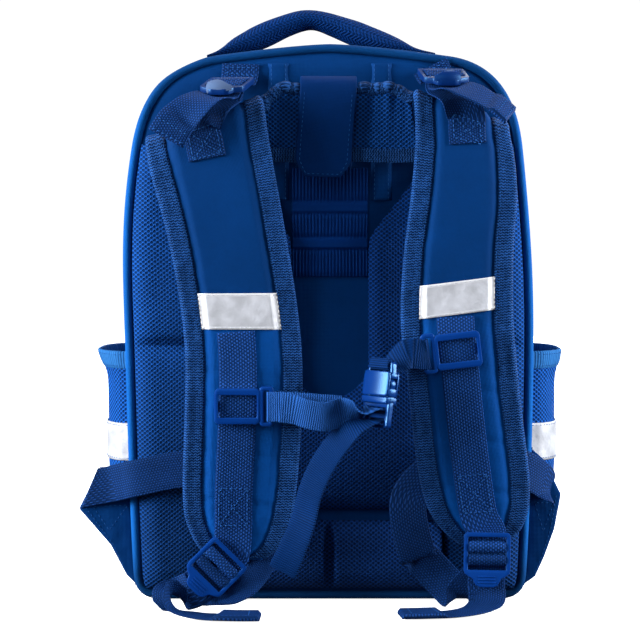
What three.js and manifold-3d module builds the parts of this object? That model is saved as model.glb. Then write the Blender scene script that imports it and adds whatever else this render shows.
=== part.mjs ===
import * as THREE from 'three';
import { LoftGeometry } from 'three/addons/geometries/LoftGeometry.js';
import { mergeVertices } from 'three/addons/utils/BufferGeometryUtils.js';
import Module from 'manifold-3d';

// School backpack: X to the right seen from the harness side, Y into the bag, Z up, millimetres
const BODY_HALF = 139.5;
const BODY_HEIGHT = 380;
const SEAM_HEIGHT = 185;
const DEPTH_BASE = 150;
const DEPTH_TOP = 112;
const FRONT_NARROWING = 0.95;
const FRONT_LOWERING = 0.925;
const SIDE_BULGE = 4;
const SINK = 1;
const GAP = 0.3;
const PIPING_RADIUS = 3;
const PANEL_THICKNESS = 6;
const GUSSET_START = 5.5;
const CLOTH = 3;
const PAD_HEIGHT = 12;
const WEBBING_WIDTH = 25;
const CHEST_WIDTH = 20;
const WEBBING = 1.2;
const BINDING_WIDTH = 13;
const BINDING = 1;
const STRAP_EDGE = 2;
const STRAP_HALF = 5;
const CURVE_STEPS = 5;

const wasm = await Module();
wasm.setup();

const vec = (x, y, z) => new THREE.Vector3(x, y, z);
const mix = THREE.MathUtils.lerp;
const clamp = THREE.MathUtils.clamp;
const bell = (offset, spread) => Math.exp(-((offset / spread) ** 2));

// Solids joined and cut
function solid(geometry) {
  const bare = geometry.clone();
  bare.deleteAttribute('normal');
  bare.deleteAttribute('uv');
  const merged = mergeVertices(bare, 1e-4);
  return new wasm.Manifold(
    new wasm.Mesh({
      numProp: 3,
      vertProperties: merged.getAttribute('position').array,
      triVerts: new Uint32Array(merged.index.array),
    }),
  );
}

function surface(body) {
  const mesh = body.getMesh();
  const geometry = new THREE.BufferGeometry();
  geometry.setAttribute('position', new THREE.BufferAttribute(mesh.vertProperties, 3));
  geometry.setIndex(new THREE.BufferAttribute(mesh.triVerts, 1));
  return geometry;
}

function joined(geometries, cuts = []) {
  const whole = geometries.map(solid).reduce((a, b) => a.add(b));
  return surface(cuts.map(solid).reduce((a, b) => a.subtract(b), whole));
}

function box(low, high) {
  const size = high.clone().sub(low);
  const middle = high.clone().add(low).multiplyScalar(0.5);
  return new THREE.BoxGeometry(size.x, size.y, size.z).translate(middle.x, middle.y, middle.z);
}

// A skin through closed sections, turned so that its faces point outwards
function skin(sections, ring = false) {
  const rows = ring ? [...sections, sections[0]] : sections;
  const centre = (row) => row.reduce((sum, p) => sum.add(p), vec(0, 0, 0)).divideScalar(row.length);
  const middle = centre(rows[0]);
  const facing = vec(0, 0, 0);
  rows[0].forEach((p, i) => {
    const next = rows[0][(i + 1) % rows[0].length];
    facing.add(p.clone().sub(middle).cross(next.clone().sub(middle)));
  });
  const inward = facing.dot(centre(rows[1]).sub(middle)) < 0;
  const ordered = inward ? rows.map((row) => [...row].reverse()) : rows;
  return new LoftGeometry(ordered, { capStart: !ring, capEnd: !ring });
}

// The values of a table between its rows, on a smooth curve through them
function between(rows, t) {
  const spot = clamp(t, 0, 1) * (rows.length - 1);
  const row = Math.min(Math.floor(spot), rows.length - 2);
  const f = spot - row;
  const value = (key, step) => rows[clamp(row + step, 0, rows.length - 1)][key];
  const blend = (key) => {
    const [a, b, c, d] = [-1, 0, 1, 2].map((step) => value(key, step));
    const bend = (2 * a - 5 * b + 4 * c - d) * f + (3 * b - a - 3 * c + d) * f * f;
    return b + 0.5 * f * (c - a + bend);
  };
  return Object.fromEntries(Object.keys(rows[0]).map((key) => [key, blend(key)]));
}

// A flat band along rows of its middle (x, y, z) and of the direction across it (ax, ay, az)
function band(rows, width, thickness, stepsPerRow, widthAt = () => 1) {
  const steps = (rows.length - 1) * stepsPerRow;
  const point = (t) => {
    const row = between(rows, t);
    return vec(row.x, row.y, row.z);
  };
  const sections = Array.from({ length: steps + 1 }, (_, k) => {
    const t = k / steps;
    const row = between(rows, t);
    const way = point(t + 0.2 / steps).sub(point(t - 0.2 / steps)).normalize();
    const across = vec(row.ax, row.ay, row.az);
    across.addScaledVector(way, -across.dot(way)).normalize();
    const lift = way.clone().cross(across).multiplyScalar(thickness / 2);
    const reach = across.multiplyScalar((width / 2) * widthAt(t));
    const middle = point(t);
    return [
      middle.clone().add(reach).add(lift),
      middle.clone().sub(reach).add(lift),
      middle.clone().sub(reach).sub(lift),
      middle.clone().add(reach).sub(lift),
    ];
  });
  return skin(sections);
}

// A flat plate in the X-Z plane from y = near to y = far
function plate(shape, near, far, bevel = 0) {
  const options = {
    depth: far - near - 2 * bevel,
    curveSegments: CURVE_STEPS,
    bevelEnabled: bevel > 0,
    bevelThickness: bevel,
    bevelSize: bevel,
    bevelOffset: -bevel,
    bevelSegments: 2,
  };
  return new THREE.ExtrudeGeometry(shape, options).rotateX(Math.PI / 2).translate(0, far - bevel, 0);
}

function polygon(corners) {
  return new THREE.Shape(corners.map(([x, z]) => new THREE.Vector2(x, z)));
}

const root = new THREE.Group();
root.name = 'backpack';
const bag = new THREE.Group();
root.add(bag);

const LOOKS = {
  shell: { color: 0x14519c, roughness: 0.75 },
  mesh: { color: 0x1a57a5, roughness: 0.9 },
  tape: { color: 0x1b4a9c, roughness: 0.8 },
  webbing: { color: 0x1d479d, roughness: 0.8 },
  plastic: { color: 0x1b55b4, roughness: 0.4 },
  elastic: { color: 0x4d8fd0, roughness: 0.85 },
  silver: { color: 0xd5dade, roughness: 0.45 },
  zip: { color: 0x133f7d, roughness: 0.7 },
};

function add(name, look, geometry) {
  const mesh = new THREE.Mesh(geometry, new THREE.MeshStandardMaterial(LOOKS[look]));
  mesh.name = name;
  bag.add(mesh);
}

// Outline of the back: the arch above the side seams and the cradle below them
const arch = new THREE.Path();
arch.moveTo(BODY_HALF, SEAM_HEIGHT);
arch.quadraticCurveTo(BODY_HALF + 0.4, 255, 133, 310);
arch.bezierCurveTo(128, 350, 108, 368.5, 80, 372);
arch.quadraticCurveTo(24, 379.5, 0, BODY_HEIGHT);
arch.quadraticCurveTo(-24, 379.5, -80, 372);
arch.bezierCurveTo(-108, 368.5, -128, 350, -133, 310);
arch.quadraticCurveTo(-BODY_HALF - 0.4, 255, -BODY_HALF, SEAM_HEIGHT);
const cradle = new THREE.Path();
cradle.moveTo(-BODY_HALF, SEAM_HEIGHT);
cradle.quadraticCurveTo(-139, 90, -135, 17);
cradle.quadraticCurveTo(-134, 0, -117, 0);
cradle.lineTo(117, 0);
cradle.quadraticCurveTo(134, 0, 135, 17);
cradle.quadraticCurveTo(139, 90, BODY_HALF, SEAM_HEIGHT);
const archPoints = arch.getPoints(CURVE_STEPS);
const cradlePoints = cradle.getPoints(CURVE_STEPS);
const outline = [...archPoints.slice(0, -1), ...cradlePoints.slice(0, -1)];

// Points moved square to their line, towards the inside of the bag
function inset(points, distance, closed) {
  return points.map((p, i) => {
    const n = points.length;
    const before = closed ? points[(i + n - 1) % n] : points[Math.max(i - 1, 0)];
    const after = closed ? points[(i + 1) % n] : points[Math.min(i + 1, n - 1)];
    const a = p.clone().sub(before).normalize();
    const b = after.clone().sub(p).normalize();
    const way = a.add(b).normalize();
    const stretch = Math.max(Math.abs(way.dot(b)), 0.8);
    return new THREE.Vector2(p.x - (way.y * distance) / stretch, p.y + (way.x * distance) / stretch);
  });
}

function halfWidth(z, points = outline) {
  const side = points.filter((p) => p.x > -0.01).sort((a, b) => a.y - b.y || b.x - a.x);
  const i = clamp(side.findIndex((p) => p.y >= z), 1, side.length - 1);
  return mix(side[i - 1].x, side[i].x, (z - side[i - 1].y) / (side[i].y - side[i - 1].y));
}

// A point of the outline carried back to depth share s, on the outer face of the side walls
function onGusset(p, way, s, lift) {
  const far = mix(DEPTH_BASE, DEPTH_TOP, p.y / BODY_HEIGHT);
  const bulge = SIDE_BULGE * Math.sin(Math.PI * s) * clamp(p.y / 40, 0, 1);
  const x = p.x * mix(1, FRONT_NARROWING, s) + way.y * (bulge + lift);
  const z = p.y * mix(1, FRONT_LOWERING, s) - way.x * (bulge + lift);
  return vec(x, mix(GUSSET_START, far, s), z);
}

function wayAt(points, i) {
  const before = points[Math.max(i - 1, 0)];
  const after = points[Math.min(i + 1, points.length - 1)];
  return after.clone().sub(before).normalize();
}

// A wall along the outline between two depth shares, its section lifted by a profile across
function gusset(points, from, to, thickness, profile, inside) {
  const sunk = inset(points, SINK, false);
  sunk.forEach((p) => {
    p.y -= SINK * clamp(1 - (p.y - SINK) / 40, 0, 1);
  });
  return skin(
    sunk.map((p, i) => {
      const way = wayAt(sunk, i);
      const share = (k) => mix(from, to, k / (profile.length - 1));
      const outer = profile.map((lift, k) => onGusset(p, way, share(k), lift));
      const inner = inside.map((f) => onGusset(p, way, mix(from, to, f), -thickness));
      return [...outer, ...inner];
    }),
  );
}

function trimmed(points, cut) {
  const lift = (p) => new THREE.Vector2(p.x, p.y + cut);
  return [lift(points[0]), ...points.slice(1, -1), lift(points[points.length - 1])];
}

function piping(points, radius, place) {
  const sides = 5;
  const core = inset(points, radius, true);
  return skin(
    core.map((p, i) => {
      const edge = points[i].clone().sub(p).normalize();
      const middle = place(p);
      return Array.from({ length: sides }, (_, k) => {
        const angle = ((k + 0.5) / sides) * 2 * Math.PI;
        const out = radius * Math.cos(angle);
        return vec(edge.x * out, radius * Math.sin(angle), edge.y * out).add(middle);
      });
    }),
    true,
  );
}

// Body
const ZIP = { back: 0.4, front: 0.52 };
const SHARE_GAP = 0.003;
const frontDepth = (z) => mix(DEPTH_BASE, DEPTH_TOP, z / (BODY_HEIGHT * FRONT_LOWERING));
const frontOutline = outline.map((p) => new THREE.Vector2(p.x * FRONT_NARROWING, p.y * FRONT_LOWERING));
const PIPING_FRONT = 2.5;
const panelEdge = inset(outline, 2 * PIPING_RADIUS + GAP, true);

add('back_panel', 'shell', plate(new THREE.Shape(panelEdge), 0, PANEL_THICKNESS));
add('piping_back', 'shell', piping(outline, PIPING_RADIUS, (p) => vec(p.x, 2.6, p.y + 0.2)));
const flat = [0, 0, 0];
const coil = [0, 1.6, 1.6, 0];
add('base_gusset', 'shell', gusset(cradlePoints, 0, 1 - SHARE_GAP, CLOTH, flat, [1, 0.5, 0]));
const archTrimmed = trimmed(archPoints, GAP);
add('zip_gusset_back', 'shell', gusset(archTrimmed, 0, ZIP.back, CLOTH, flat, [1, 0]));
add('zip_gusset_front', 'shell', gusset(archTrimmed, ZIP.front, 1 - SHARE_GAP, CLOTH, flat, [1, 0]));
const zipEdges = [ZIP.back + SHARE_GAP, ZIP.front - SHARE_GAP];
add('zip_chain', 'zip', gusset(archTrimmed, ...zipEdges, 1.4, coil, [1, 0]));
add(
  'piping_front',
  'shell',
  piping(frontOutline, PIPING_FRONT, (p) => vec(p.x, frontDepth(p.y) + PIPING_FRONT + GAP, p.y + 0.2)),
);

// Front panel, crowned, as level sections up the height
const FRONT_CROWN = 13;
const frontEdge = inset(frontOutline, 2 * PIPING_FRONT + 3 * GAP, true);
const FRONT_TOP = 345.2;
const frontRows = [
  6.1, 8, 11.5, 17, 50, 110, 180, 240, 285, 308, 322, 332, 338, 341, 343.4, 344.6, FRONT_TOP,
];
add(
  'front_panel',
  'shell',
  skin(
    frontRows.map((z) => {
      const half = halfWidth(z, frontEdge);
      const rise = FRONT_CROWN * Math.sin(Math.PI * clamp((z + 25) / (FRONT_TOP + 50), 0, 1)) ** 0.8;
      const spots = [-1, -0.8, 0, 0.8, 1];
      const skinAt = (u, depth) => vec(u * half, frontDepth(z) + 1 + rise * (1 - u ** 4) + depth, z);
      return [...spots.map((u) => skinAt(u, CLOTH)), ...spots.map((u) => skinAt(u, 0)).reverse()];
    }),
  ),
);

// Zip sliders with their pulls, lying on the arch
function zipSlider(side) {
  const shape = polygon([
    [-4, -6],
    [4, -6],
    [4, 6],
    [2.5, 7],
    [3.2, 34],
    [-3.2, 34],
    [-2.5, 7],
    [-4, 6],
  ]);
  const pull = new THREE.ExtrudeGeometry(shape, { depth: 2.4, bevelEnabled: false });
  pull.rotateZ((-side * Math.PI) / 2);
  const spot = new THREE.Vector2(side * 22, archPoints[3 * CURVE_STEPS].y - 1.9);
  const place = onGusset(spot, new THREE.Vector2(-1, 0), 0.46, 2);
  const slope = Math.atan2(BODY_HEIGHT * (1 - FRONT_LOWERING), DEPTH_TOP - PANEL_THICKNESS);
  return pull.rotateX(-slope).translate(place.x, place.y, place.z);
}
add('zip_slider_left', 'plastic', zipSlider(-1));
add('zip_slider_right', 'plastic', zipSlider(1));

// Carry handle: a padded arch, flattened where it is sewn to the top
const HANDLE_ROWS = [
  { x: -86, z: 369.4, tall: 1.6, deep: 13 },
  { x: -76, z: 372.2, tall: 3, deep: 13 },
  { x: -62, z: 379, tall: 7, deep: 12 },
  { x: -44, z: 386.5, tall: 8.6, deep: 11 },
  { x: -24, z: 393.5, tall: 7.4, deep: 11 },
  { x: -6, z: 397.6, tall: 6.4, deep: 11 },
  { x: 12, z: 393.5, tall: 7.4, deep: 11 },
  { x: 33, z: 386.5, tall: 8.6, deep: 11 },
  { x: 54, z: 379.5, tall: 7, deep: 12 },
  { x: 68, z: 373.4, tall: 3, deep: 13 },
  { x: 78, z: 370.6, tall: 1.6, deep: 13 },
];
const HANDLE_DEPTH = 24;
function handle() {
  const steps = (HANDLE_ROWS.length - 1) * 2;
  const lean = vec(0, 1, -0.27).normalize();
  const sections = Array.from({ length: steps + 1 }, (_, k) => {
    const row = between(HANDLE_ROWS, k / steps);
    const ahead = between(HANDLE_ROWS, (k + 0.2) / steps);
    const behind = between(HANDLE_ROWS, (k - 0.2) / steps);
    const way = vec(ahead.x - behind.x, 0, ahead.z - behind.z).normalize();
    const up = lean.clone().cross(way).normalize();
    return Array.from({ length: 8 }, (__, j) => {
      const angle = ((j + 0.5) / 8) * 2 * Math.PI;
      const p = vec(row.x, HANDLE_DEPTH, row.z);
      p.addScaledVector(lean, row.deep * Math.cos(angle));
      return p.addScaledVector(up, row.tall * Math.sin(angle));
    });
  });
  return skin(sections);
}
add('carry_handle', 'mesh', handle());

// Side bolsters, with the cross dent
const BOLSTER_INNER = 78;
const BOLSTER_DENT = 175;
const bolsterRows = [
  { z: 8, high: 3, inner: 78 },
  { z: 14, high: 8.5, inner: 78 },
  { z: 26, high: PAD_HEIGHT, inner: 78 },
  { z: 90, high: PAD_HEIGHT, inner: 78 },
  { z: 160, high: PAD_HEIGHT, inner: 78 },
  { z: 170, high: 8.5, inner: 78 },
  { z: BOLSTER_DENT, high: 5.5, inner: 78 },
  { z: 180, high: 8.5, inner: 78 },
  { z: 190, high: PAD_HEIGHT, inner: 78 },
  { z: 240, high: PAD_HEIGHT, inner: 78 },
  { z: 280, high: PAD_HEIGHT, inner: 82 },
  { z: 302, high: 9.5, inner: 92 },
  { z: 312, high: 3, inner: 98 },
];
function padSection(spot, high) {
  const profile = [0.3, 0.78, 1, 1, 0.78, 0.3];
  const shares = [0, 0.09, 0.32, 0.68, 0.91, 1];
  const front = shares.map((u, k) => spot(u, -GAP - high * profile[k]));
  return [...front, spot(1, -GAP), spot(0, -GAP)];
}
function bolster(side) {
  return skin(
    bolsterRows.map(({ z, high, inner }) => {
      const outer = halfWidth(z) - 2 * PIPING_RADIUS - 2 * GAP;
      return padSection((u, y) => vec(side * mix(outer, inner, u), y, z), high);
    }),
  );
}
add('bolster_left', 'mesh', bolster(-1));
add('bolster_right', 'mesh', bolster(1));

// Spine pad round the recess, and the lumbar pad below it
const RECESS = 26;
const spine = new THREE.Shape();
spine.moveTo(-BOLSTER_INNER + 1, 62);
spine.lineTo(BOLSTER_INNER - 1, 62);
spine.lineTo(BOLSTER_INNER - 1, 284);
spine.lineTo(64, 297);
spine.lineTo(RECESS, 248);
spine.lineTo(RECESS, 165);
spine.absarc(0, 165, RECESS, 0, -Math.PI, true);
spine.lineTo(-RECESS, 248);
spine.lineTo(-64, 297);
spine.lineTo(-BOLSTER_INNER + 1, 284);
spine.closePath();
add('spine_pad', 'mesh', plate(spine, -PAD_HEIGHT - GAP, -GAP, 5));

const lumbarSpots = [-77, -70, -50, -20, -8, -3, 2, 7, 20, 50, 70, 77];
add(
  'lumbar_pad',
  'mesh',
  skin(
    lumbarSpots.map((x) => {
      const edge = clamp((78.5 - Math.abs(x)) / 9, 0.25, 1);
      const high = 11 * edge * (1 - 0.5 * bell(x + 0.5, 4));
      return padSection((u, y) => vec(x, y, mix(8, 55, u)), high);
    }),
  ),
);

// Stitched sleeves and the ribbed ladder in the recess
const SLEEVE = { inner: 28, outer: 42, low: 274, high: 367 };
for (const [name, side] of [['stay_sleeve_left', -1], ['stay_sleeve_right', 1]]) {
  const low = vec(Math.min(side * SLEEVE.inner, side * SLEEVE.outer), -1.6, SLEEVE.low);
  const high = vec(Math.max(side * SLEEVE.inner, side * SLEEVE.outer), -GAP, SLEEVE.high);
  add(name, 'shell', box(low, high));
}
const LADDER_HALF = 25.5;
const LADDER_RISE = { window: 3, tape: 3.8, seam: 1.6 };
const ladderRows = [
  { z: 222, rise: LADDER_RISE.seam },
  { z: 226, rise: LADDER_RISE.window },
  { z: 238, rise: LADDER_RISE.window },
  { z: 240.5, rise: LADDER_RISE.seam },
  { z: 242, rise: LADDER_RISE.tape },
  { z: 247.5, rise: LADDER_RISE.tape },
  { z: 249, rise: LADDER_RISE.seam },
  { z: 252, rise: LADDER_RISE.window },
  { z: 262, rise: LADDER_RISE.window },
  { z: 265, rise: LADDER_RISE.seam },
  { z: 266.5, rise: LADDER_RISE.tape },
  { z: 272, rise: LADDER_RISE.tape },
  { z: 273.5, rise: LADDER_RISE.seam },
  { z: 277, rise: LADDER_RISE.window },
  { z: 296, rise: LADDER_RISE.window },
];
const ladderSides = [...ladderRows.map((r) => [r.rise, r.z]), [GAP, 296], [GAP, 222]];
const ladderEnd = (x) => ladderSides.map(([rise, z]) => vec(x, -rise, z));
add('ladder_panel', 'tape', skin([ladderEnd(-LADDER_HALF), ladderEnd(LADDER_HALF)]));

// Yoke, its lower tape and the tongue folded over it
const YOKE = { back: -12.8, front: -21.8, low: 301, top: 352 };
const YOKE_MID = (YOKE.back + YOKE.front) / 2;
const yokeShape = polygon([
  [-119, 286],
  [-80, YOKE.low],
  [80, YOKE.low],
  [117, 294],
  [117, 309.5],
  [56.4, 332],
  [54.6, 345],
  [46, 351],
  [40, YOKE.top],
  [-34, YOKE.top],
  [-43.6, 344],
  [-45.8, 328],
  [-119, 300.3],
]);
add('yoke', 'mesh', plate(yokeShape, YOKE.front, YOKE.back, 1.5));
const tapeWall = 1.3;
const tapeProfile = [
  [YOKE.front - GAP - tapeWall, 310],
  [YOKE.front - GAP - tapeWall, YOKE.low - GAP - tapeWall],
  [YOKE.back + GAP, YOKE.low - GAP - tapeWall],
  [YOKE.back + GAP, YOKE.low - GAP],
  [YOKE.front - GAP, YOKE.low - GAP],
  [YOKE.front - GAP, 310],
];
const tapeEnd = (x) => tapeProfile.map(([y, z]) => vec(x, y, z));
add('yoke_binding', 'tape', skin([tapeEnd(-78), tapeEnd(78)]));

const FLAP_WIDTH = 38;
const flapRows = [
  { x: -4.5, y: -10.5, z: 297, ax: 1, ay: 0, az: 0.04 },
  { x: -3, y: -10.5, z: 315, ax: 1, ay: 0, az: 0.04 },
  { x: -1.5, y: -10.8, z: 345, ax: 1, ay: 0, az: 0.04 },
  { x: -1, y: -12.6, z: 354, ax: 1, ay: 0, az: 0.02 },
  { x: -1, y: -17.6, z: 357, ax: 1, ay: 0, az: 0 },
  { x: -1, y: -23.4, z: 353, ax: 1, ay: 0, az: -0.04 },
  { x: -1.6, y: -25.6, z: 340, ax: 1, ay: 0, az: -0.06 },
  { x: -3.4, y: -26, z: 318, ax: 1, ay: 0, az: -0.06 },
  { x: -4.6, y: -26.6, z: 301, ax: 1, ay: 0, az: -0.06 },
  { x: -5, y: -27, z: 290, ax: 1, ay: 0, az: -0.06 },
];
const flapWidth = (t) => mix(1, 0.6, clamp((t - 8 / 9) * 9, 0, 1));
add('yoke_flap', 'shell', band(flapRows, FLAP_WIDTH, 1.8, 2, flapWidth));

// Shoulder straps: outer and inner edge (ox, oz, ix, iz) of the middle layer and its depth y
const STRAPS = {
  left: {
    side: -1,
    web: 0.45,
    rows: [
      { ox: -120.8, oz: 301, ix: -47, iz: 329.4, y: YOKE_MID },
      { ox: -121.4, oz: 308.5, ix: -46.4, iz: 337, y: -19 },
      { ox: -121.6, oz: 313.5, ix: -45.6, iz: 342, y: -28 },
      { ox: -121, oz: 309, ix: -44, iz: 337, y: -37 },
      { ox: -117.8, oz: 293, ix: -40.6, iz: 314, y: -42.5 },
      { ox: -110.4, oz: 265, ix: -33.2, iz: 273, y: -46 },
      { ox: -104.8, oz: 238, ix: -27.8, iz: 242, y: -47.5 },
      { ox: -100, oz: 208, ix: -22.4, iz: 208, y: -48 },
      { ox: -96.8, oz: 175, ix: -19, iz: 175, y: -48 },
      { ox: -96.8, oz: 142, ix: -18.4, iz: 142, y: -47.4 },
      { ox: -98, oz: 110, ix: -20.2, iz: 110, y: -45.5 },
      { ox: -98.8, oz: 82, ix: -22.4, iz: 82, y: -42.4 },
      { ox: -97.4, oz: 62, ix: -25.4, iz: 62, y: -39.4 },
      { ox: -91, oz: 45, ix: -31.4, iz: 45, y: -36.4 },
      { ox: -82, oz: 33, ix: -43.4, iz: 33, y: -33.6 },
    ],
  },
  right: {
    side: 1,
    web: 0.52,
    rows: [
      { ox: 119, oz: 310.4, ix: 56.6, iz: 333.6, y: YOKE_MID },
      { ox: 119.4, oz: 318, ix: 56, iz: 341, y: -19 },
      { ox: 119.8, oz: 323, ix: 55.8, iz: 346, y: -28 },
      { ox: 121, oz: 318.4, ix: 56, iz: 340.4, y: -37 },
      { ox: 124.8, oz: 299, ix: 56.6, iz: 312, y: -42.5 },
      { ox: 125.8, oz: 275, ix: 53.4, iz: 276, y: -46 },
      { ox: 123.2, oz: 248, ix: 49.4, iz: 244, y: -47.5 },
      { ox: 122, oz: 221, ix: 47, iz: 211, y: -48 },
      { ox: 122.2, oz: 194, ix: 47.4, iz: 185, y: -48 },
      { ox: 124.2, oz: 168, ix: 51, iz: 160, y: -47.6 },
      { ox: 127, oz: 141, ix: 53.8, iz: 134, y: -46.6 },
      { ox: 130.4, oz: 115, ix: 56.6, iz: 109, y: -44.6 },
      { ox: 133.2, oz: 92, ix: 60.4, iz: 86, y: -41.8 },
      { ox: 133.8, oz: 72, ix: 66, iz: 67, y: -39 },
      { ox: 129.4, oz: 55, ix: 75.4, iz: 53, y: -36 },
      { ox: 119, oz: 43.4, ix: 88.4, iz: 42, y: -33.4 },
    ],
  },
};

function layer(strap, t, u) {
  const row = between(strap.rows, t);
  return vec(mix(row.ox, row.ix, u), row.y, mix(row.oz, row.iz, u));
}

function facing(strap, t) {
  const step = 0.004;
  const along = layer(strap, Math.min(t + step, 1), 0.5).sub(layer(strap, Math.max(t - step, 0), 0.5));
  const across = layer(strap, t, 1).sub(layer(strap, t, 0));
  return along.cross(across).normalize().multiplyScalar(-strap.side);
}

function breadth(strap, t) {
  return layer(strap, t, 0).distanceTo(layer(strap, t, 1));
}

// Stations across a strap: distance in from its edge, the most share it may take, half thickness
const PADDING = [
  { from: BINDING + 2 * GAP, most: 0.05, half: STRAP_EDGE },
  { from: BINDING_WIDTH + 0.4, most: 0.32, half: STRAP_EDGE },
  { from: 24, most: 0.44, half: STRAP_HALF },
];

function padStations(strap, t) {
  const wide = breadth(strap, t);
  const taper = clamp((1.06 - t) * 5, 0.3, 1);
  const near = PADDING.map(({ from, most, half }) => {
    return { u: Math.min(from / wide, most), half: STRAP_EDGE + (half - STRAP_EDGE) * taper };
  });
  const far = near.map(({ u, half }) => ({ u: 1 - u, half }));
  return [...near, ...far.reverse()];
}

// The front face of a strap's padding at share u across it
function front(strap, t, u, lift) {
  const stations = padStations(strap, t);
  const i = clamp(stations.findIndex((s) => s.u >= u), 1, stations.length - 1);
  const [a, b] = [stations[i - 1], stations[i]];
  const half = mix(a.half, b.half, clamp((u - a.u) / (b.u - a.u), 0, 1));
  return layer(strap, t, u).addScaledVector(facing(strap, t), half + lift);
}

function strapSteps(strap, from, to, perRow) {
  const steps = Math.round((to - from) * (strap.rows.length - 1) * perRow);
  return Array.from({ length: steps + 1 }, (_, k) => mix(from, to, k / steps));
}

// Stations along a strap: two to a table row over the fold, one to a row below it
function strapStations(strap) {
  const fold = 5 / (strap.rows.length - 1);
  return [...strapSteps(strap, 0, fold, 2), ...strapSteps(strap, fold, 1, 1).slice(1)];
}

function strapCore(strap) {
  return skin(
    strapStations(strap).map((t) => {
      const normal = facing(strap, t);
      const side = (sign) =>
        padStations(strap, t).map(({ u, half }) => layer(strap, t, u).addScaledVector(normal, sign * half));
      return [...side(1), ...side(-1).reverse()];
    }),
  );
}

function strapBinding(strap, edge) {
  return skin(
    strapStations(strap).slice(1, -1).map((t) => {
      const normal = facing(strap, t);
      const wide = breadth(strap, t);
      const inward = layer(strap, t, 1 - edge).sub(layer(strap, t, edge)).normalize();
      const reach = Math.min(BINDING_WIDTH, wide * 0.3);
      const low = STRAP_EDGE + GAP;
      const corner = (along, up) => {
        return layer(strap, t, edge).addScaledVector(inward, along).addScaledVector(normal, up);
      };
      return [
        corner(reach, low + BINDING),
        corner(0, low + BINDING),
        corner(0, -low - BINDING),
        corner(reach, -low - BINDING),
        corner(reach, -low),
        corner(BINDING, -low),
        corner(BINDING, low),
        corner(reach, low),
      ];
    }),
  );
}

// A thin cover that follows the padding between two stretches
function strapCover(strap, from, to, low, high, lift, thickness) {
  const shares = Array.from({ length: 9 }, (_, k) => mix(low, high, k / 8));
  return skin(
    strapSteps(strap, from, to, 3).map((t) => {
      const at = (extra) => shares.map((u) => front(strap, t, u, lift + extra));
      return [...at(thickness), ...at(0).reverse()];
    }),
  );
}

// Ladder lock: rows of its slots along the axis a, the front face towards c
const LOCK = { half: 15.6, window: 12.9, thick: 4, rung: 2.2, top: 15.5, tab: -21 };
const LOCK_SLOTS = [
  { low: 7.5, high: 12.5 },
  { low: -1, high: 4 },
  { low: -9.5, high: -4.5 },
];
const FIXED_LOOP = [
  { a: 16, c: -3.4 },
  { a: 12.6, c: -3.5 },
  { a: 9.8, c: -1.8 },
  { a: 8.9, c: 1 },
  { a: 5.75, c: 2.6 },
  { a: 2.6, c: 1 },
  { a: 3.4, c: -2 },
];
const SLIDING_LOOP = [
  { a: -9, c: -8 },
  { a: -3.6, c: -5.6 },
  { a: -0.7, c: -2.4 },
  { a: 0.3, c: 1 },
  { a: -2.75, c: 2.6 },
  { a: -5.8, c: 1 },
  { a: -7.4, c: -2.2 },
  { a: -12, c: -4 },
  { a: -20, c: -4.4 },
];

function lockFrame(middle, up, across) {
  const a = up.clone().normalize();
  const b = across.clone().addScaledVector(a, -across.dot(a)).normalize();
  const c = a.clone().cross(b).normalize();
  if (c.y > 0.3 || c.z < -0.5) c.negate();
  return { middle, a, b, c };
}

function inLock(frame, loop) {
  return loop.map(({ a, c }) => {
    const p = frame.middle.clone().addScaledVector(frame.a, a).addScaledVector(frame.c, c);
    return { x: p.x, y: p.y, z: p.z, ax: frame.b.x, ay: frame.b.y, az: frame.b.z };
  });
}

function placed(geometry, frame) {
  const handed = frame.b.clone().cross(frame.a).dot(frame.c) < 0 ? -1 : 1;
  const basis = new THREE.Matrix4().makeBasis(frame.b.clone().multiplyScalar(handed), frame.a, frame.c);
  return geometry.applyMatrix4(basis.setPosition(frame.middle));
}

function ladderLock(frame) {
  const shape = new THREE.Shape();
  shape.moveTo(-LOCK.half, -9);
  shape.quadraticCurveTo(-LOCK.half, -13, -9.5, -14.5);
  shape.quadraticCurveTo(-8, LOCK.tab, 0, LOCK.tab);
  shape.quadraticCurveTo(8, LOCK.tab, 9.5, -14.5);
  shape.quadraticCurveTo(LOCK.half, -13, LOCK.half, -9);
  shape.lineTo(LOCK.half, LOCK.top - 2);
  shape.lineTo(LOCK.half - 2, LOCK.top);
  shape.lineTo(-LOCK.half + 2, LOCK.top);
  shape.lineTo(-LOCK.half, LOCK.top - 2);
  shape.closePath();
  const options = { depth: LOCK.thick, bevelEnabled: false, curveSegments: 4 };
  const body = new THREE.ExtrudeGeometry(shape, options);
  body.translate(0, 0, -LOCK.thick / 2);
  const w = LOCK.window;
  const cuts = LOCK_SLOTS.map((s) => box(vec(-w, s.low, -9), vec(w, s.high, 9)));
  const face = LOCK.rung / 2;
  const relief = [box(vec(-w, -5, face), vec(w, 8, 9)), box(vec(-w, -5, -9), vec(w, 8, -face))];
  return placed(joined([body], [...cuts, ...relief]), frame);
}

const LOCKS = {
  left: lockFrame(vec(-77, -48, 28.5), vec(0.7, 0.12, 0.7), vec(0.7, 0, -0.7)),
  right: lockFrame(vec(105, -48, 37), vec(0.02, 0.14, 0.99), vec(-1, 0, 0.02)),
};

// Chest sliders sit on the strap webbing; their webbing rises over a bar behind it
const SLIDERS = {
  left: { height: 138.7, out: 1, end: 57 },
  right: { height: 175.6, out: -1, end: 66 },
};
const SLIDER = { half: 15.2, window: 12.9, rise: 3.1, tall: 12, slot: 7.5 };

function shareAtHeight(strap, u, z) {
  let low = 0.3;
  let high = 1;
  for (let i = 0; i < 40; i += 1) {
    const middle = (low + high) / 2;
    if (layer(strap, middle, u).z > z) low = middle;
    else high = middle;
  }
  return low;
}

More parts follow.
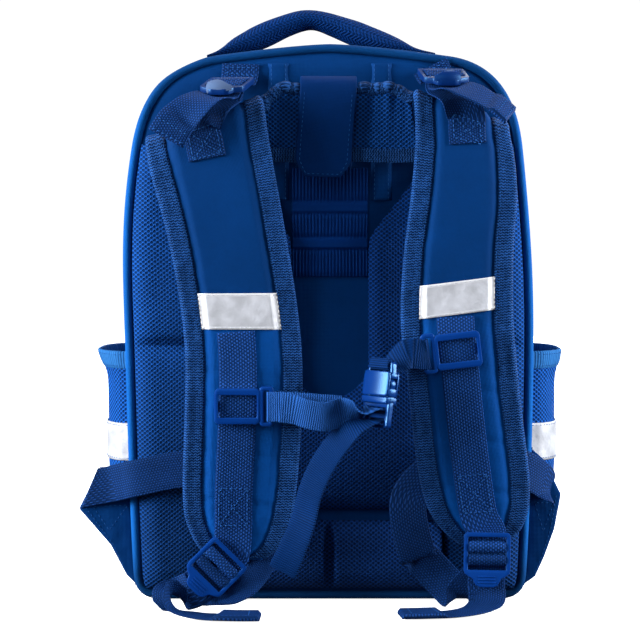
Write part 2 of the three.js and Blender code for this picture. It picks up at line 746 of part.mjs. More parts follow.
function webPoint(name, t) {
  const strap = STRAPS[name];
  const z = layer(strap, t, strap.web).z;
  const rise = SLIDER.rise * Math.exp(-(((z - SLIDERS[name].height) / 14) ** 4));
  return front(strap, t, strap.web, 1.5 * GAP + WEBBING / 2 + rise);
}

function webRow(name, t) {
  const strap = STRAPS[name];
  const p = webPoint(name, t);
  const across = layer(strap, t, 1).sub(layer(strap, t, 0)).normalize();
  if (across.dot(LOCKS[name].b) < 0) across.negate();
  return { x: p.x, y: p.y, z: p.z, ax: across.x, ay: across.y, az: across.z };
}

const REFLECTORS = {
  left: { top: 213, low: 189 },
  right: { top: 221, low: 199 },
};

function strapPieces(name) {
  const strap = STRAPS[name];
  add('strap_' + name, 'shell', strapCore(strap));
  add('strap_' + name + '_binding_outer', 'tape', strapBinding(strap, 0));
  add('strap_' + name + '_binding_inner', 'tape', strapBinding(strap, 1));
  const { top, low } = REFLECTORS[name];
  const from = shareAtHeight(strap, 0.5, top);
  const to = shareAtHeight(strap, 0.5, low);
  const margin = (BINDING_WIDTH + 0.6) / breadth(strap, from);
  const cover = strapCover(strap, from, to, margin, 1 - margin, 2 * GAP, 0.8);
  add('strap_' + name + '_reflector', 'silver', cover);
  const { height, end } = SLIDERS[name];
  const start = low - 1.5;
  const above = start - height > 30 ? [start, mix(start, height + 17, 0.5), height + 17] : [start];
  const heights = [...above, height + 11, height + 4, height - 4, height - 11, height - 17];
  const below = [0.33, 0.66, 1].map((f) => mix(height - 17, end, f));
  const rows = [...heights, ...below].map((z) => webRow(name, shareAtHeight(strap, strap.web, z)));
  const path = [...rows, ...inLock(LOCKS[name], FIXED_LOOP)];
  add('strap_' + name + '_webbing', 'webbing', band(path, WEBBING_WIDTH, WEBBING, 2));
  add('lock_' + name, 'plastic', ladderLock(LOCKS[name]));
}
strapPieces('left');
strapPieces('right');

// Wings in the side seams, and the webbing that runs from them to the locks and on to the free tails
const WINGS = {
  left: [
    [-132.7, 9],
    [-134.4, 17],
    [-135.6, 40],
    [-137.5, 92],
    [-158, 91],
    [-172.6, 62],
    [-150, 37],
    [-138.4, 16],
  ],
  right: [
    [132.7, 9],
    [134.4, 17],
    [135.6, 40],
    [137.9, 104],
    [146, 96],
    [157, 72],
    [152, 48],
    [145.4, 28.6],
    [139.2, 15],
  ],
};
add('wing_left', 'shell', plate(polygon(WINGS.left), 6.4, 8.4));
add('wing_right', 'shell', plate(polygon(WINGS.right), 6.4, 8.4));

const LOWER_ROWS = {
  left: {
    before: [
      { x: -162, y: 4.6, z: 76.6, ax: 0.25, ay: 0, az: -0.97 },
      { x: -151, y: 1, z: 79.4, ax: 0.2, ay: 0, az: -0.98 },
      { x: -143, y: -6.4, z: 82, ax: 0.1, ay: 0, az: -1 },
      { x: -131, y: -15, z: 85.6, ax: 0, ay: 0, az: -1 },
      { x: -95, y: -21, z: 92, ax: -0.05, ay: 0, az: -1 },
      { x: -72, y: -22, z: 80, ax: -0.55, ay: 0, az: -0.83 },
      { x: -52, y: -23, z: 56, ax: -0.85, ay: 0, az: -0.5 },
      { x: -45, y: -30, z: 34, ax: -0.98, ay: 0, az: -0.1 },
      { x: -53, y: -44, z: 18.4, ax: -0.75, ay: 0.35, az: 0.5 },
      { x: -63, y: -47, z: 11.8, ax: -0.6, ay: 0.6, az: 0.5 },
      { x: -71, y: -46, z: 9.4, ax: 0.3, ay: 0.8, az: 0.45 },
      { x: -79, y: -40.5, z: 11.6, ax: 0.6, ay: 0.3, az: 0.7 },
      { x: -84, y: -38.5, z: 15, ax: 0.94, ay: 0, az: 0.2 },
    ],
    after: [
      { x: -98, y: -46.5, z: 12.4, ax: 0.7, ay: -0.1, az: -0.7 },
      { x: -105, y: -52, z: 13, ax: 0.45, ay: -0.75, az: -0.4 },
      { x: -107, y: -60, z: 11.4, ax: 0.1, ay: -1, az: -0.05 },
      { x: -101, y: -67, z: 4.8, ax: 0, ay: -1, az: 0 },
      { x: -86, y: -74, z: 1.6, ax: 0.1, ay: -1, az: 0 },
      { x: -66, y: -80, z: 1.2, ax: 0, ay: -1, az: 0 },
      { x: -46, y: -82, z: 1.2, ax: 0, ay: -1, az: 0 },
    ],
  },
  right: {
    before: [
      { x: 151.5, y: 4.2, z: 70, ax: -0.3, ay: 0, az: 0.95 },
      { x: 148, y: 0, z: 80, ax: 0, ay: 0, az: 1 },
      { x: 140, y: -9, z: 87, ax: 0, ay: 0, az: 1 },
      { x: 128, y: -16, z: 93, ax: 0, ay: 0, az: 1 },
      { x: 101, y: -20, z: 98, ax: 0, ay: 0, az: 1 },
      { x: 76, y: -21, z: 100, ax: -0.3, ay: 0, az: 0.95 },
      { x: 55, y: -21.6, z: 94, ax: -0.8, ay: 0, az: 0.6 },
      { x: 49, y: -22.4, z: 78, ax: -1, ay: 0, az: -0.08 },
      { x: 53, y: -24.4, z: 56, ax: -0.96, ay: 0, az: -0.24 },
      { x: 59, y: -27.4, z: 35, ax: -0.95, ay: 0, az: -0.3 },
      { x: 60, y: -25, z: 32, ax: -0.95, ay: 0, az: -0.3 },
      { x: 62, y: -21.4, z: 32, ax: -0.92, ay: 0, az: -0.38 },
      { x: 71, y: -20.6, z: 22, ax: -0.75, ay: 0, az: -0.65 },
      { x: 80, y: -23.6, z: 13, ax: -0.78, ay: 0, az: -0.62 },
      { x: 87, y: -28.6, z: 6.8, ax: -1, ay: 0, az: -0.1 },
      { x: 92, y: -34, z: 11.5, ax: -0.88, ay: 0, az: 0.4 },
      { x: 99, y: -38, z: 20, ax: -0.95, ay: 0, az: 0.25 },
    ],
    after: [
      { x: 105, y: -49, z: 10, ax: -1, ay: 0, az: 0 },
      { x: 103, y: -55, z: 5.5, ax: -0.9, ay: 0.4, az: 0 },
      { x: 95, y: -63, z: 2.6, ax: -0.6, ay: 0.8, az: 0 },
      { x: 80, y: -70, z: 1.3, ax: -0.3, ay: 0.95, az: 0 },
      { x: 62, y: -74, z: 1.2, ax: -0.1, ay: 1, az: 0 },
      { x: 46, y: -76, z: 1.2, ax: 0, ay: 1, az: 0 },
    ],
  },
};
for (const name of ['left', 'right']) {
  const { before, after } = LOWER_ROWS[name];
  const rows = [...before, ...inLock(LOCKS[name], SLIDING_LOOP), ...after];
  add('lower_webbing_' + name, 'webbing', band(rows, WEBBING_WIDTH, WEBBING, 2));
}

// Load lifters: anchor from the top seam, lock above the fold, webbing from the strap with its tail
const LIFTERS = {
  left: {
    lock: lockFrame(vec(-69.5, -27.5, 351.5), vec(0.25, 0.93, 0.25), vec(0.97, -0.25, 0)),
    anchor: [
      { x: -60.7, y: -1.4, z: 366.6, ax: 1, ay: 0, az: 0 },
      { x: -61, y: -2.2, z: 360, ax: 1, ay: 0, az: 0 },
      { x: -62.4, y: -6, z: 354, ax: 1, ay: -0.1, az: 0 },
    ],
    patch: { u: 0.47, low: 302.5, top: 321 },
    rise: [{ x: -79, y: -45, z: 333.5, ax: 0.96, ay: -0.16, az: 0.2 }],
    tail: [
      { x: -82, y: -51, z: 343, ax: 0.6, ay: -0.7, az: -0.3 },
      { x: -91, y: -55, z: 337, ax: 0.75, ay: -0.5, az: -0.4 },
      { x: -101, y: -55.5, z: 327, ax: 0.93, ay: -0.15, az: -0.25 },
      { x: -108, y: -55.4, z: 315.6, ax: 0.99, ay: 0, az: 0.1 },
    ],
  },
  right: {
    lock: lockFrame(vec(76, -27.5, 357.5), vec(-0.12, 0.95, 0.24), vec(0.99, 0.12, 0)),
    anchor: [
      { x: 68, y: -1.8, z: 365, ax: 1, ay: 0, az: 0.2 },
      { x: 70.6, y: -2.8, z: 360, ax: 1, ay: 0, az: 0.2 },
      { x: 73, y: -6, z: 356.4, ax: 1, ay: 0.05, az: 0.1 },
    ],
    patch: { u: 0.485, low: 312, top: 328 },
    rise: [{ x: 85, y: -44.6, z: 340.5, ax: 0.96, ay: 0.12, az: -0.18 }],
    tail: [
      { x: 87, y: -51, z: 349, ax: 0.65, ay: 0.72, az: 0.25 },
      { x: 98, y: -53.4, z: 346, ax: 0.35, ay: 0.85, az: 0.4 },
      { x: 110, y: -53.6, z: 340, ax: 0.25, ay: 0.86, az: 0.45 },
      { x: 121, y: -54, z: 331.4, ax: 0.25, ay: 0.86, az: 0.45 },
    ],
  },
};
function shareOnFront(strap, u, z) {
  const from = 2.5 / (strap.rows.length - 1);
  const spots = strapSteps(strap, from, 0.5, 8);
  return spots.find((t) => layer(strap, t, u).z <= z);
}
for (const name of ['left', 'right']) {
  const { lock, anchor, patch, rise, tail } = LIFTERS[name];
  const strap = STRAPS[name];
  const held = [...anchor, ...inLock(lock, FIXED_LOOP)];
  add('lifter_' + name + '_anchor', 'webbing', band(held, WEBBING_WIDTH, WEBBING, 2));
  add('lifter_' + name + '_lock', 'plastic', ladderLock(lock));
  const sewn = [0, 0.5, 1].map((f) => {
    const t = shareOnFront(strap, patch.u, mix(patch.low, patch.top, f));
    const p = front(strap, t, patch.u, mix(GAP, 2.6, f * f) + WEBBING / 2);
    const across = layer(strap, t, 1).sub(layer(strap, t, 0)).multiplyScalar(-strap.side).normalize();
    return { x: p.x, y: p.y, z: p.z, ax: across.x, ay: across.y, az: across.z };
  });
  const rows = [...sewn, ...rise, ...inLock(lock, SLIDING_LOOP), ...tail];
  add('lifter_' + name + '_webbing', 'webbing', band(rows, WEBBING_WIDTH, WEBBING, 2));
}

// Chest sliders: a frame before the webbing, a bar behind it and a side loop
const CHEST_LOOP = { near: 14.6, far: 24, tall: 13.4, slotNear: 17.4, slotFar: 21.2, slotTall: 10.6 };
function chestSlider(name) {
  const { height, out } = SLIDERS[name];
  const strap = STRAPS[name];
  const t = shareAtHeight(strap, strap.web, height);
  const c = facing(strap, t);
  const b = layer(strap, t, 1).sub(layer(strap, t, 0)).multiplyScalar(-strap.side).normalize();
  const frame = { middle: webPoint(name, t), a: c.clone().cross(b).normalize(), b, c };
  const { half, window, tall, slot, rise } = SLIDER;
  const back = -rise - 0.5;
  const plateFront = box(vec(-half, -tall, 1.3), vec(half, tall, 3.4));
  const lugs = [-1, 1].map((s) => {
    const inner = s * window;
    const outer = s * half;
    return box(vec(Math.min(inner, outer), -3.4, back), vec(Math.max(inner, outer), 3.4, 2));
  });
  const bar = box(vec(-half, -1.2, back), vec(half, 1.6, -1.3));
  const L = CHEST_LOOP;
  const span = (near, far, high, low, top) => {
    const [left, right] = out > 0 ? [near, far] : [-far, -near];
    return box(vec(left, -high, low), vec(right, high, top));
  };
  const loop = span(L.near, L.far, L.tall, 0, 3.4);
  const cuts = [
    box(vec(-window, -slot, 0.5), vec(window, slot, 5)),
    span(L.slotNear, L.slotFar, L.slotTall, -5, 9),
  ];
  return { geometry: placed(joined([plateFront, ...lugs, bar, loop], cuts), frame), frame };
}
const sliderLeft = chestSlider('left');
const sliderRight = chestSlider('right');
add('chest_left_slider', 'plastic', sliderLeft.geometry);
add('chest_right_slider', 'plastic', sliderRight.geometry);

// Side-release buckle, fastened: its axis runs up from the bar of the male half
const BUCKLE = { half: 13.5, thick: 4.4, mouth: -1, top: 22, low: -22, bar: -17 };
const buckle = lockFrame(vec(32.5, -67, 147), vec(0.12, 0.1, 0.98), vec(0.6, -0.8, 0));
function buckleFemale() {
  const shape = polygon([
    [-BUCKLE.half, BUCKLE.mouth],
    [BUCKLE.half, BUCKLE.mouth],
    [BUCKLE.half, 13],
    [11.6, BUCKLE.top],
    [-11.6, BUCKLE.top],
    [-BUCKLE.half, 13],
  ]);
  const body = new THREE.ExtrudeGeometry(shape, { depth: 2 * BUCKLE.thick, bevelEnabled: false });
  body.translate(0, 0, -BUCKLE.thick);
  const cuts = [
    box(vec(-11.4, -5, -2.6), vec(11.4, 12, 2.6)),
    box(vec(-20, 4, -2.6), vec(20, 11, 2.6)),
    box(vec(-10.6, 15, -9), vec(10.6, 18.6, 9)),
    box(vec(-20, 14.4, 2.2), vec(20, 30, 9)),
    box(vec(-20, 14.4, -9), vec(20, 30, -2.2)),
  ];
  return placed(joined([body], cuts), buckle);
}
function buckleMale() {
  const { half, thick, low } = BUCKLE;
  const rim = BUCKLE.mouth - GAP;
  const base = box(vec(-half, low, -2), vec(half, rim, 2));
  const collar = box(vec(-half, -6, -thick), vec(half, rim, thick));
  const prongs = [-1, 1].map((s) => box(vec(s * 9 - 2, -4, -2.1), vec(s * 9 + 2, 11, 2.1)));
  const tongue = box(vec(-2, -4, -2.1), vec(2, 9, 2.1));
  const cuts = [
    box(vec(-10.6, -12.6, -9), vec(10.6, -8.4, 9)),
    box(vec(-10.6, -20, -9), vec(10.6, -15.6, 9)),
  ];
  return placed(joined([base, collar, ...prongs, tongue], cuts), buckle);
}
add('chest_buckle_female', 'plastic', buckleFemale());
add('chest_buckle_male', 'plastic', buckleMale());

// Chest strap: the elastic straight behind, the slack webbing before it, and its free tail
function atSlider(slider, b, c, a = 0) {
  const { middle, a: up, b: across, c: out } = slider.frame;
  const p = middle.clone().addScaledVector(across, b).addScaledVector(out, c).addScaledVector(up, a);
  return { x: p.x, y: p.y, z: p.z, ax: up.x, ay: up.y, az: up.z };
}
const elasticRows = [
  atSlider(sliderLeft, 30, -1),
  atSlider(sliderLeft, 23, -1),
  atSlider(sliderLeft, 20.5, -0.8),
  atSlider(sliderLeft, 19.8, 1.7),
  atSlider(sliderLeft, 20.3, 4.4),
  atSlider(sliderLeft, 23, 4.8),
  { x: -24, y: -64, z: 138, ax: 0, ay: 0, az: 1 },
  { x: -6, y: -65.4, z: 137, ax: 0, ay: 0, az: 1 },
  { x: 8, y: -66.4, z: 136, ax: 0, ay: 0, az: 1 },
];
add('chest_left_elastic', 'elastic', band(elasticRows, CHEST_WIDTH, 1, 2));

function inBuckle(a, c, turn = 1) {
  const p = buckle.middle.clone().addScaledVector(buckle.a, a).addScaledVector(buckle.c, c);
  return { x: p.x, y: p.y, z: p.z, ax: turn * buckle.b.x, ay: turn * buckle.b.y, az: turn * buckle.b.z };
}
const chestRows = [
  { x: -33, y: -66.4, z: 138, ax: 0, ay: 0, az: 1 },
  { x: -24, y: -68, z: 137, ax: 0, ay: -0.1, az: 1 },
  { x: -14, y: -72, z: 134, ax: 0, ay: -0.2, az: 1 },
  { x: -3, y: -72.5, z: 132.5, ax: 0, ay: -0.2, az: 1 },
  { x: 7, y: -68.6, z: 135, ax: 0.1, ay: -0.1, az: 1 },
  { x: 15, y: -69.6, z: 136, ax: 0.35, ay: -0.6, az: 0.7 },
  { x: 21, y: -71.4, z: 136.2, ax: 0.55, ay: -0.8, az: 0.1 },
];
const chestTail = [
  { x: 15, y: -74, z: 125, ax: 0.7, ay: -0.65, az: -0.3 },
  { x: 5, y: -70, z: 115, ax: 0.8, ay: -0.45, az: -0.3 },
  { x: -5, y: -64, z: 100, ax: 0.88, ay: -0.35, az: -0.25 },
  { x: -13, y: -60, z: 82, ax: 0.92, ay: -0.3, az: -0.2 },
  { x: -18, y: -58, z: 62, ax: 0.93, ay: -0.3, az: -0.2 },
  { x: -25, y: -55, z: 43, ax: 0.93, ay: -0.25, az: -0.25 },
  { x: -32, y: -52, z: 27, ax: 0.95, ay: -0.2, az: -0.2 },
];
const maleLoop = [
  inBuckle(-9.9, 5),
  inBuckle(-10.3, 0.6),
  inBuckle(-11.4, -2.6),
  inBuckle(-14.1, -3.7),
  inBuckle(-16.8, -2.6),
  inBuckle(-17.9, 0.6),
  inBuckle(-18.6, 4.8),
];
const chestPath = [...chestRows, ...maleLoop, ...chestTail];
add('chest_left_webbing', 'webbing', band(chestPath, CHEST_WIDTH, WEBBING, 2));
const chestRight = [
  atSlider(sliderRight, -30, -1.1),
  atSlider(sliderRight, -23, -1.1),
  atSlider(sliderRight, -20.4, -0.8),
  atSlider(sliderRight, -19.6, 1.7),
  atSlider(sliderRight, -20.4, 4.2),
  atSlider(sliderRight, -23, 4.6),
  { x: 52, y: -63.4, z: 173.5, ax: -0.1, ay: 0.1, az: 1 },
  { x: 45, y: -61.4, z: 169, ax: -0.4, ay: 0.6, az: 0.7 },
  { x: 40, y: -61.6, z: 165, ax: -0.58, ay: 0.8, az: 0.15 },
  inBuckle(16.8, -0.6, -1),
  inBuckle(17.2, 2.6, -1),
  inBuckle(20.2, 3.6, -1),
  inBuckle(23.6, 2.4, -1),
];
add('chest_right_webbing', 'webbing', band(chestRight, CHEST_WIDTH, WEBBING, 2));

// Side pockets: rows of height, outward bulge, and the share of the depth they span
const POCKET = { near: 0.07, far: 0.84, wall: 1.4 };
const pocketRows = [
  { z: 20, bulge: 1.5 },
  { z: 30, bulge: 8 },
  { z: 50, bulge: 13 },
  { z: 90, bulge: 15 },
  { z: 122, bulge: 14 },
  { z: 148, bulge: 13.4 },
  { z: 157, bulge: 15 },
];
const hemRows = [
  { z: 157.4, bulge: 15 },
  { z: 163, bulge: 17.4 },
  { z: 170, bulge: 19.5 },
];
const bandRows = [
  { z: 94, bulge: 15 },
  { z: 108, bulge: 14.6 },
  { z: 120, bulge: 14.1 },
];
function pocketSection(side, z, bulge, lift, wall) {
  const spots = Array.from({ length: 9 }, (_, k) => k / 8);
  const point = new THREE.Vector2(halfWidth(z) - 1, z);
  const at = (u, out) => {
    const swell = bulge * (1 - (2 * u - 1) ** 4);
    const depth = mix(POCKET.near, POCKET.far, u);
    const p = onGusset(point, new THREE.Vector2(0, 1), depth, 2 * GAP + swell + out);
    return vec(side * p.x, p.y, z);
  };
  return [...spots.map((u) => at(u, lift + wall)), ...spots.map((u) => at(u, lift)).reverse()];
}
for (const [name, side] of [['left', -1], ['right', 1]]) {
  const wall = (rows, lift, thick) =>
    skin(rows.map(({ z, bulge }) => pocketSection(side, z, bulge, lift, thick)));
  add('pocket_' + name, 'mesh', wall(pocketRows, 0, POCKET.wall));
  add('pocket_' + name + '_hem', 'elastic', wall(hemRows, 0, 2));
  add('pocket_' + name + '_reflector', 'silver', wall(bandRows, POCKET.wall + GAP, 0.8));
}

// The origin lies on the floor, below the middle of everything
const middle = new THREE.Box3().setFromObject(bag).getCenter(vec(0, 0, 0));
bag.position.set(-middle.x, -middle.y, 0);

export default root;
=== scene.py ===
import math
from collections import namedtuple

import bmesh
import bpy
from mathutils import Matrix, Vector, noise


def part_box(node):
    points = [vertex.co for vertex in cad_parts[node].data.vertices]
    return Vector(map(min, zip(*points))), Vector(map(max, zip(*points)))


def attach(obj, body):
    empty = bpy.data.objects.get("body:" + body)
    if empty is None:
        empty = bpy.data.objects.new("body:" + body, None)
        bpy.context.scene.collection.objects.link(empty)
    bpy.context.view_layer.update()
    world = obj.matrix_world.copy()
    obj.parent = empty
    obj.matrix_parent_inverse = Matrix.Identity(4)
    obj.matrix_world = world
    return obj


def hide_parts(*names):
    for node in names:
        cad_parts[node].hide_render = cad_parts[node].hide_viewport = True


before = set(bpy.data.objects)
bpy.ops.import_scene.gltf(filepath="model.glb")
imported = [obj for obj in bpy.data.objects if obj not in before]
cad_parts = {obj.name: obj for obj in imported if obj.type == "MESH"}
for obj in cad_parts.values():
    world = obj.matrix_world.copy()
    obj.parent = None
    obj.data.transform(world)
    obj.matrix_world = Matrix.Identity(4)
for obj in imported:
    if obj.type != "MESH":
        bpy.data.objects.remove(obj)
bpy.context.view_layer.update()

panel_low, panel_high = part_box("back_panel")
ORIGIN = Vector(((panel_low[0] + panel_high[0]) / 2, panel_low[1], 0))

# Camera at the photograph's place, straight before the harness side
EYE = ORIGIN + Vector((-0.0068, -1.9, 0.3))
AIM = ORIGIN + Vector((-0.0068, 0, 0.1923))
LENS = 156.7
camera = bpy.data.objects.new("photo_camera", bpy.data.cameras.new("photo_camera"))
camera.data.lens = LENS
camera.location = EYE
camera.rotation_euler = (AIM - EYE).to_track_quat("-Z", "Y").to_euler()
bpy.context.scene.collection.objects.link(camera)
bpy.context.scene.camera = camera

# Sizes of the bag in millimetres: X to the right, Y into the bag, Z up
MM = 0.001
BODY_HALF = 139.5
BODY_HEIGHT = 380.0
SEAM_HEIGHT = 185.0
DEPTH_BASE = 150.0
DEPTH_TOP = 112.0
FRONT_NARROWING = 0.95
FRONT_LOWERING = 0.925
SIDE_BULGE = 4.0
SINK = 1.0
GAP = 0.3
PIPING_RADIUS = 3.0
PIPING_FRONT = 2.5
PANEL_THICKNESS = 6.0
GUSSET_START = 5.5
CLOTH = 3.0
PAD_HEIGHT = 12.0
WEBBING_WIDTH = 25.0
CHEST_WIDTH = 20.0
WEBBING = 1.2
BINDING_WIDTH = 13.0
BINDING = 1.0
STRAP_EDGE = 2.0
STRAP_HALF = 5.0
FILM = 0.6
FLOOR_CLEARANCE = 0.1

TO_FRAME = Matrix.Translation(ORIGIN) @ Matrix.Scale(MM, 4)


def mix(a, b, share):
    return a + (b - a) * share


def sampled(count, spot, low=0.0, high=1.0):
    """What spot gives at even steps from low to high."""
    return [spot(mix(low, high, k / count)) for k in range(count + 1)]


def clamp(value, low=0.0, high=1.0):
    return min(max(value, low), high)


def ease(value):
    value = clamp(value)
    return value * value * (3 - 2 * value)


def bell(offset, spread):
    return math.exp(-((offset / spread) ** 2))


def slack(point, size, depth):
    """A smooth uneven rise, as of cloth that lies loosely."""
    return depth * noise.noise(point / size)


def between(rows, t):
    """The values of a table between its rows, on a smooth curve through them."""
    spot = clamp(t) * (len(rows) - 1)
    first = min(int(spot), len(rows) - 2)
    f = spot - first
    four = [rows[int(clamp(first + k, 0, len(rows) - 1))] for k in (-1, 0, 1, 2)]
    values = []
    for a, b, c, d in zip(*four):
        bend = (2 * a - 5 * b + 4 * c - d) * f + (3 * b - a - 3 * c + d) * f * f
        values.append(b + 0.5 * f * (c - a + bend))
    return values


def straight(rows, x):
    """The second column of a table where its first column is x, on straight lines."""
    for (x0, y0), (x1, y1) in zip(rows, rows[1:]):
        if x <= x1:
            return mix(y0, y1, clamp((x - x0) / (x1 - x0)))
    return rows[-1][1]


def running(line):
    """The length of a line up to each of its points."""
    lengths = [0.0]
    for a, b in zip(line, line[1:]):
        lengths.append(lengths[-1] + (b - a).length)
    return lengths


def evenly(line, count):
    """The line cut into equal lengths."""
    lengths = running(line)
    spots = []
    k = 0
    for i in range(count + 1):
        want = lengths[-1] * i / count
        while k < len(lengths) - 2 and lengths[k + 1] < want:
            k += 1
        f = (want - lengths[k]) / max(lengths[k + 1] - lengths[k], 1e-9)
        spots.append(line[k].lerp(line[k + 1], clamp(f)))
    return spots


def walk(spots, v, closed=False):
    """The point at share v of an evenly cut line, and the way the line runs there."""
    n = len(spots) if closed else len(spots) - 1
    k = clamp(v) * n
    i = min(int(k + 1e-6), n - 1)
    a = spots[i % len(spots)]
    b = spots[(i + 1) % len(spots)]
    before = spots[i - 1] if closed or i > 0 else a
    return a.lerp(b, k - i), (b - before).normalized()


# Shader maths: a value that takes part in sums, and a material that makes nodes
class Value:
    """A shader value; sums on it add Math nodes to its material."""

    def __init__(self, finish, socket):
        self.finish = finish
        self.socket = socket

    def maths(self, operation, *terms):
        return self.finish.node("ShaderNodeMath", {"operation": operation}, dict(enumerate(terms)))

    def __add__(self, other):
        return self.maths("ADD", self, other)

    def __sub__(self, other):
        return self.maths("SUBTRACT", self, other)

    def __rsub__(self, other):
        return self.maths("SUBTRACT", other, self)

    def __mul__(self, other):
        return self.maths("MULTIPLY", self, other)

    def __truediv__(self, other):
        return self.maths("DIVIDE", self, other)

    __radd__ = __add__
    __rmul__ = __mul__

    def wave(self, pitch):
        """A ridge in every pitch, from 0 to 1."""
        turn = self * (2 * math.pi / pitch)
        return turn.maths("SINE", turn) * 0.5 + 0.5

    def cell(self, pitch):
        """The distance from the middle of each pitch."""
        share = self / pitch
        return (share.maths("FRACT", share) - 0.5) * pitch


# Heights between which painted light and shade fade in on a cloth, and the gain in tone they paint
# beyond them
PaintedShading = namedtuple("PaintedShading", "low high gain")


class Finish:
    """A material with one shader and the nodes that feed it."""

    def __init__(self, name, constants):
        self.material = bpy.data.materials.new(name)
        self.material.use_nodes = True
        self.tree = self.material.node_tree
        self.shader = self.tree.nodes["Principled BSDF"]
        self.feed(self.shader, constants)

    def feed(self, node, inputs):
        for key, value in inputs.items():
            if isinstance(value, Value):
                self.tree.links.new(value.socket, node.inputs[key])
            else:
                node.inputs[key].default_value = value

    def node(self, kind, settings=None, inputs=None, output=0):
        node = self.tree.nodes.new(kind)
        for name, value in (settings or {}).items():
            setattr(node, name, value)
        self.feed(node, inputs or {})
        return Value(self, node.outputs[output])

    def cloth_place(self):
        """Millimetres across and along the cloth, from the piece's own UV map."""
        flat = self.node("ShaderNodeUVMap", {"uv_map": "UVMap"})
        return [self.node("ShaderNodeSeparateXYZ", None, {0: flat}, k) for k in (0, 1)]

    def uneven(self, size, detail=2.0):
        """Uneven tone from 0 to 1 in patches of a size in millimetres."""
        place = self.node("ShaderNodeTexCoord", None, None, "Object")
        inputs = {"Vector": place, "Scale": 1 / (size * MM), "Detail": detail}
        return self.node("ShaderNodeTexNoise", None, inputs)

    def above(self, change):
        """0 below a band of painted light and shade in a piece, 1 above it."""
        place = self.node("ShaderNodeTexCoord", None, None, "Object")
        height = self.node("ShaderNodeSeparateXYZ", None, {0: place}, 2)
        return self.step(height, change.low * MM, change.high * MM)

    def step(self, value, low, high):
        settings = {"interpolation_type": "SMOOTHSTEP"}
        return self.node("ShaderNodeMapRange", settings, {0: value, 1: low, 2: high})

    def blend(self, share, first, second):
        inputs = {0: share, 6: first, 7: second}
        return self.node("ShaderNodeMix", {"data_type": "RGBA"}, inputs, 2)

    def finish(self, color, roughness, height, depth):
        """Feed the shader: colour, roughness, and a relief of a depth in millimetres."""
        relief = self.node("ShaderNodeBump", None, {"Height": height, "Distance": depth * MM})
        self.feed(self.shader, {"Base Color": color, "Roughness": roughness, "Normal": relief})
        return self.material


def shade(color, factor):
    return (*(clamp(channel * factor) for channel in color), 1.0)


BLUE_GLOSS = {"Specular IOR Level": 0.13, "Specular Tint": (0.08, 0.42, 1.0, 1.0)}
SHELL_BLUE = (0.0008, 0.0255, 0.122)
PIPING_BLUE = (0.0033, 0.075, 0.3)
# Painted shade: darker copies of the shell blue for the flap and the ladder panel, in the recess between
# the straps
TONGUE_SHADED_BLUE = (0.0004, 0.0145, 0.084)
LADDER_SHADED_BLUE = (0.0006, 0.02, 0.125)
MESH_BLUE = (0.0045, 0.045, 0.212)
POCKET_BLUE = (0.0055, 0.062, 0.29)
# Painted shade: darker copies of the mesh blue for the spine and lumbar pads, in the recess between the
# straps
SPINE_SHADED_BLUE = (0.0017, 0.0235, 0.134)
LUMBAR_SHADED_BLUE = (0.0038, 0.026, 0.135)
HANDLE_BLUE = (0.0008, 0.0165, 0.095)
TAPE_BLUE = (0.0012, 0.013, 0.072)
TAPE_LIGHT = (0.0098, 0.049, 0.182)
YOKE_TAPE = (0.007, 0.034, 0.125)
WEBBING_BLUE = (0.0065, 0.036, 0.163)
LOWER_WEBBING_BLUE = (0.0037, 0.022, 0.104)
LIFTER_WEBBING_BLUE = (0.0046, 0.0265, 0.122)
# Painted light and shade: a lighter copy of the chest webbing blue for the strands that face up, a
# darker copy for the tail and the twisted right piece
CHEST_LIT_BLUE = (0.0095, 0.053, 0.212)
CHEST_SHADED_BLUE = (0.0007, 0.0125, 0.068)
PLASTIC_BLUE = (0.0004, 0.028, 0.2)
LIFTER_PLASTIC = (0.0003, 0.014, 0.1)
# Painted highlight: pale grey-blue plastic for the left lifter's lip, where it catches the light
PAINTED_HIGHLIGHT_PLASTIC = (0.06, 0.09, 0.18)
BUCKLE_PLASTIC = (0.0006, 0.02, 0.13)
ELASTIC_BLUE = (0.02, 0.125, 0.37)
THREAD_BLUE = (0.01, 0.06, 0.215)
LIGHT_THREAD = (0.014, 0.075, 0.26)
PALE_THREAD = (0.42, 0.44, 0.49)
SILVER = (0.47, 0.49, 0.545)
POCKET_SILVER = (0.36, 0.38, 0.43)


def smooth_cloth(name, blue, foot=None, head=None):
    """Close plain-woven polyester; its foot and head may carry painted light and shade: the weave at a
    lighter or darker gain by height.
    """
    f = Finish(name, BLUE_GLOSS)
    s, t = f.cloth_place()
    threads = s.wave(0.9) * 0.5 + t.wave(0.9) * 0.5
    patches = f.uneven(38) * 0.5 + f.uneven(6, 4.0) * 0.25 + f.uneven(1.7, 2.0) * 0.25

    def weave(gain):
        dull = f.blend(patches, shade(blue, 0.5 * gain), shade(blue, 1.48 * gain))
        return f.blend(threads * 0.35, dull, shade(blue, 1.45 * gain))

    color = weave(1)
    # Painted light and shade by height: the foot and head take the weave at their own gain
    if foot:
        color = f.blend(f.above(foot), weave(foot.gain), color)
    if head:
        color = f.blend(f.above(head), color, weave(head.gain))
    roughness = 0.58 + patches * 0.25
    return f.finish(color, roughness, threads * 0.5 + f.uneven(9, 3.0), 0.26)


